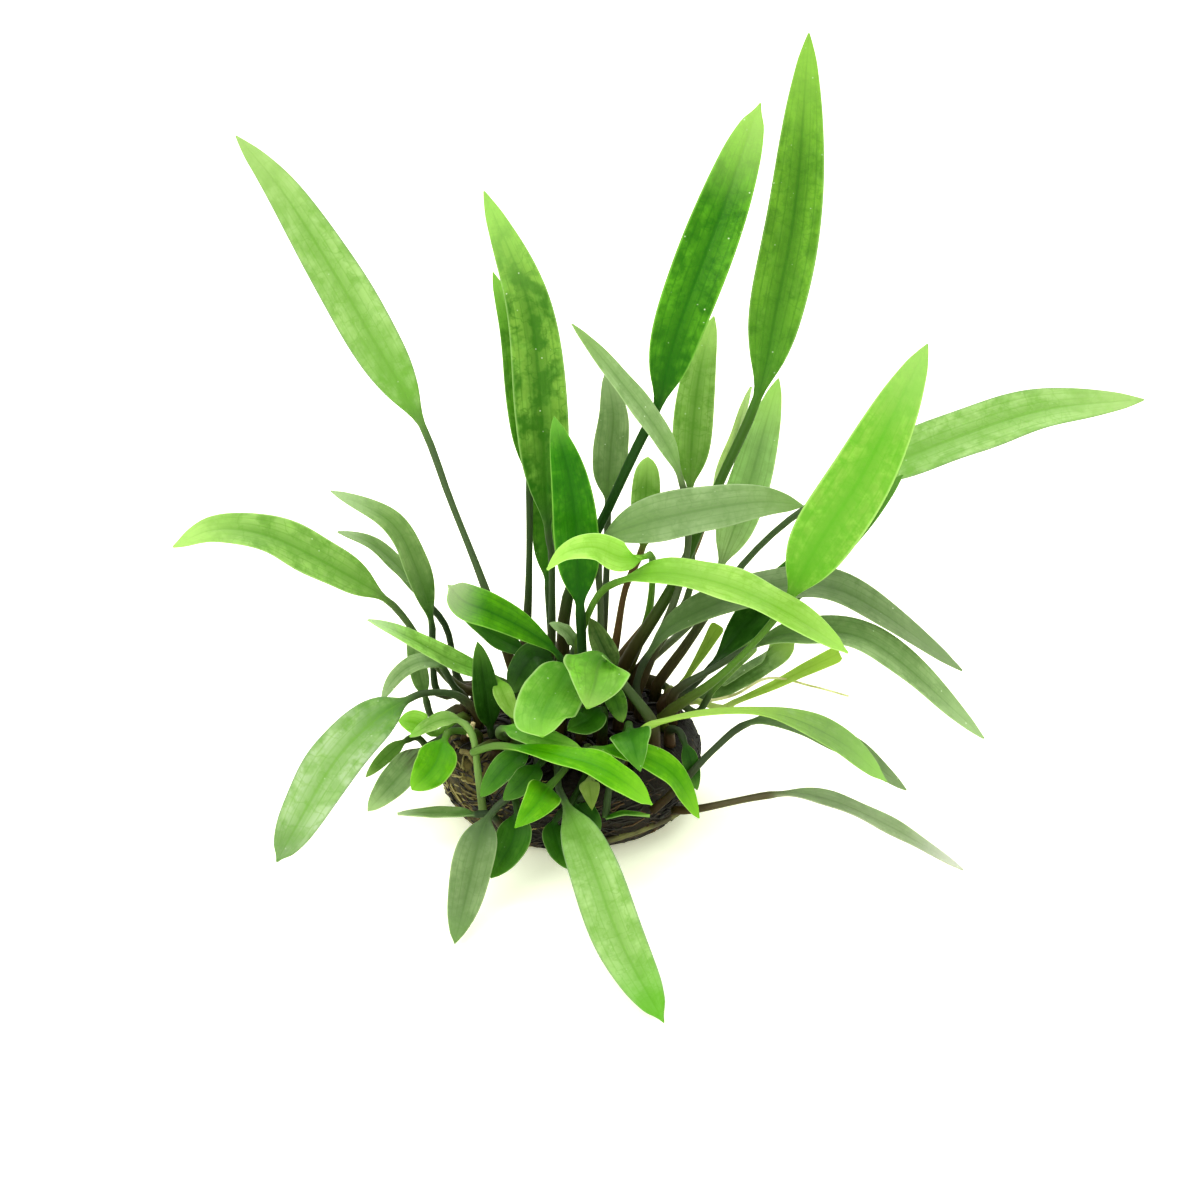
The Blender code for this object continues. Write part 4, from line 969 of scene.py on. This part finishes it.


# The dark and brown roots are darker partly as painted shade, for the shade the plug sits in.
dark_root = root_finish("dark root", colour(32, 25, 13), colour(20, 16, 8))
brown_root = root_finish("brown root", colour(80, 60, 30), colour(46, 33, 17))
pale_root = root_finish("pale root", colour(146, 136, 84), colour(104, 94, 52))
for name, count, sector, finish in (
        ("dark_roots", 210, ALL_ROUND, dark_root),
        ("brown_roots", 105, ALL_ROUND, brown_root),
        ("pale_roots", 42, LEFT_SIDE, pale_root)):
    roots = bmesh.new()
    for _ in range(count):
        angle = random.uniform(*sector)
        height = random.uniform(*ROOT_HEIGHTS)
        drift = random.uniform(*ROOT_DRIFTS)
        turn = random.choice((-1, 1)) * random.uniform(*ROOT_TURNS)
        radius = random.uniform(*ROOT_RADII)
        route = []
        for _ in range(ROOT_STATIONS):
            height += drift + random.uniform(-ROOT_WOBBLE, ROOT_WOBBLE)
            height = min(HIGHEST_ROOT, max(LOWEST_ROOT, height))
            angle += turn + random.uniform(-ROOT_TURN_WOBBLE, ROOT_TURN_WOBBLE)
            lift = plug_radius_at(height) + random.uniform(*ROOT_STANDS_OUT)
            route.append(Vector((lift * math.cos(angle), lift * math.sin(angle), height)))
        tube(roots, route, radius)
    close_ends(roots)
    show_piece(name, roots, finish, "root_wool")

# Crown roots
# Short dark roots and withered leaf bases that come out of the crown between the petioles and lie over the
# top of the plug and down its sides.
CROWN_COUNT = 150
CROWN_STARTS = (3.0, 15.0)
CROWN_LENGTHS = (7.0, 17.0)
CROWN_SWINGS = (-0.5, 0.5)
CROWN_ARCHES = (0.4, 2.6)
CROWN_RADII = (0.2, 0.5)
CROWN_WOBBLE = 0.02
ARCH_HASTE = 1.4
DROP_OVER_EDGE = 1.1
crown_roots = bmesh.new()
for _ in range(CROWN_COUNT):
    angle = random.uniform(*ALL_ROUND)
    start = random.uniform(*CROWN_STARTS)
    length = random.uniform(*CROWN_LENGTHS)
    swing = random.uniform(*CROWN_SWINGS)
    arch = random.uniform(*CROWN_ARCHES)
    route = []
    for step in range(ROOT_STATIONS):
        share = step / (ROOT_STATIONS - 1)
        out = start + length * share
        reach = min(out, PLUG_RADIUS + 0.1)
        height = PLUG_HEIGHT + arch * math.sin(math.pi * min(1.0, share * ARCH_HASTE)) * (1 - share)
        height -= max(0.0, out - PLUG_TOP_RADIUS) * DROP_OVER_EDGE
        turn = angle + swing * share + random.uniform(-CROWN_WOBBLE, CROWN_WOBBLE)
        route.append(Vector((reach * math.cos(turn), reach * math.sin(turn), height)))
    tube(crown_roots, route, random.uniform(*CROWN_RADII), taper=0.6)
close_ends(crown_roots)
# Their dark colour is partly painted shade.
show_piece("crown_roots", crown_roots, dark_root, "root_wool")

# Thick roots
# A few thicker single roots: one that lies along the front lower edge of the plug, a pale stub and a cream
# bud on its left side, and a long thin one that trails in the air at the right.
EDGE_ROOT_REACH = 23.3
EDGE_ROOT_HEIGHT = 3.9
EDGE_ROOT_WAVE = 0.5
EDGE_ROOT_FROM = math.radians(-76)
EDGE_ROOT_TURN = math.radians(48)
edge_route = []
for step in range(ROOT_STATIONS):
    turn = EDGE_ROOT_FROM + EDGE_ROOT_TURN * step / (ROOT_STATIONS - 1)
    height = EDGE_ROOT_HEIGHT + EDGE_ROOT_WAVE * math.sin(turn * 5)
    edge_route.append(Vector((EDGE_ROOT_REACH * math.cos(turn), EDGE_ROOT_REACH * math.sin(turn), height)))
stub_route, _ = close_spline([place(-20.5, 9.2, -13.5), place(-19.3, 8.9, -14.6), place(-18, 6.9, -15.2)])
bud_route, _ = close_spline([place(-18.9, 12.2, -12.8), place(-18.5, 13.6, -13.2), place(-18.2, 14.6, -13.3)])
trailing_route, _ = close_spline([
    Vector((17.5, 7.0, 16.0)), place(30, 19.5, 9), place(37.5, 23, 9.6), place(46, 21.4, 10),
    place(52.6, 19.6, 10.4)])
olive_root = root_finish("olive root", colour(104, 104, 56), colour(70, 66, 36))
cream_skin = root_finish("cream bud", colour(226, 214, 176), colour(196, 180, 130))
thin_root = root_finish("thin root", colour(206, 208, 150), colour(168, 170, 110))
for name, route, radius, finish in (
        ("edge_root", edge_route, 0.75, olive_root),
        ("stub_root", stub_route, 0.55, pale_root),
        ("cream_bud", bud_route, 0.7, cream_skin),
        ("trailing_root", trailing_route, 0.34, thin_root)):
    single = bmesh.new()
    tube(single, route, radius, taper=0.4)
    close_ends(single)
    show_piece(name, single, finish, "root_wool")
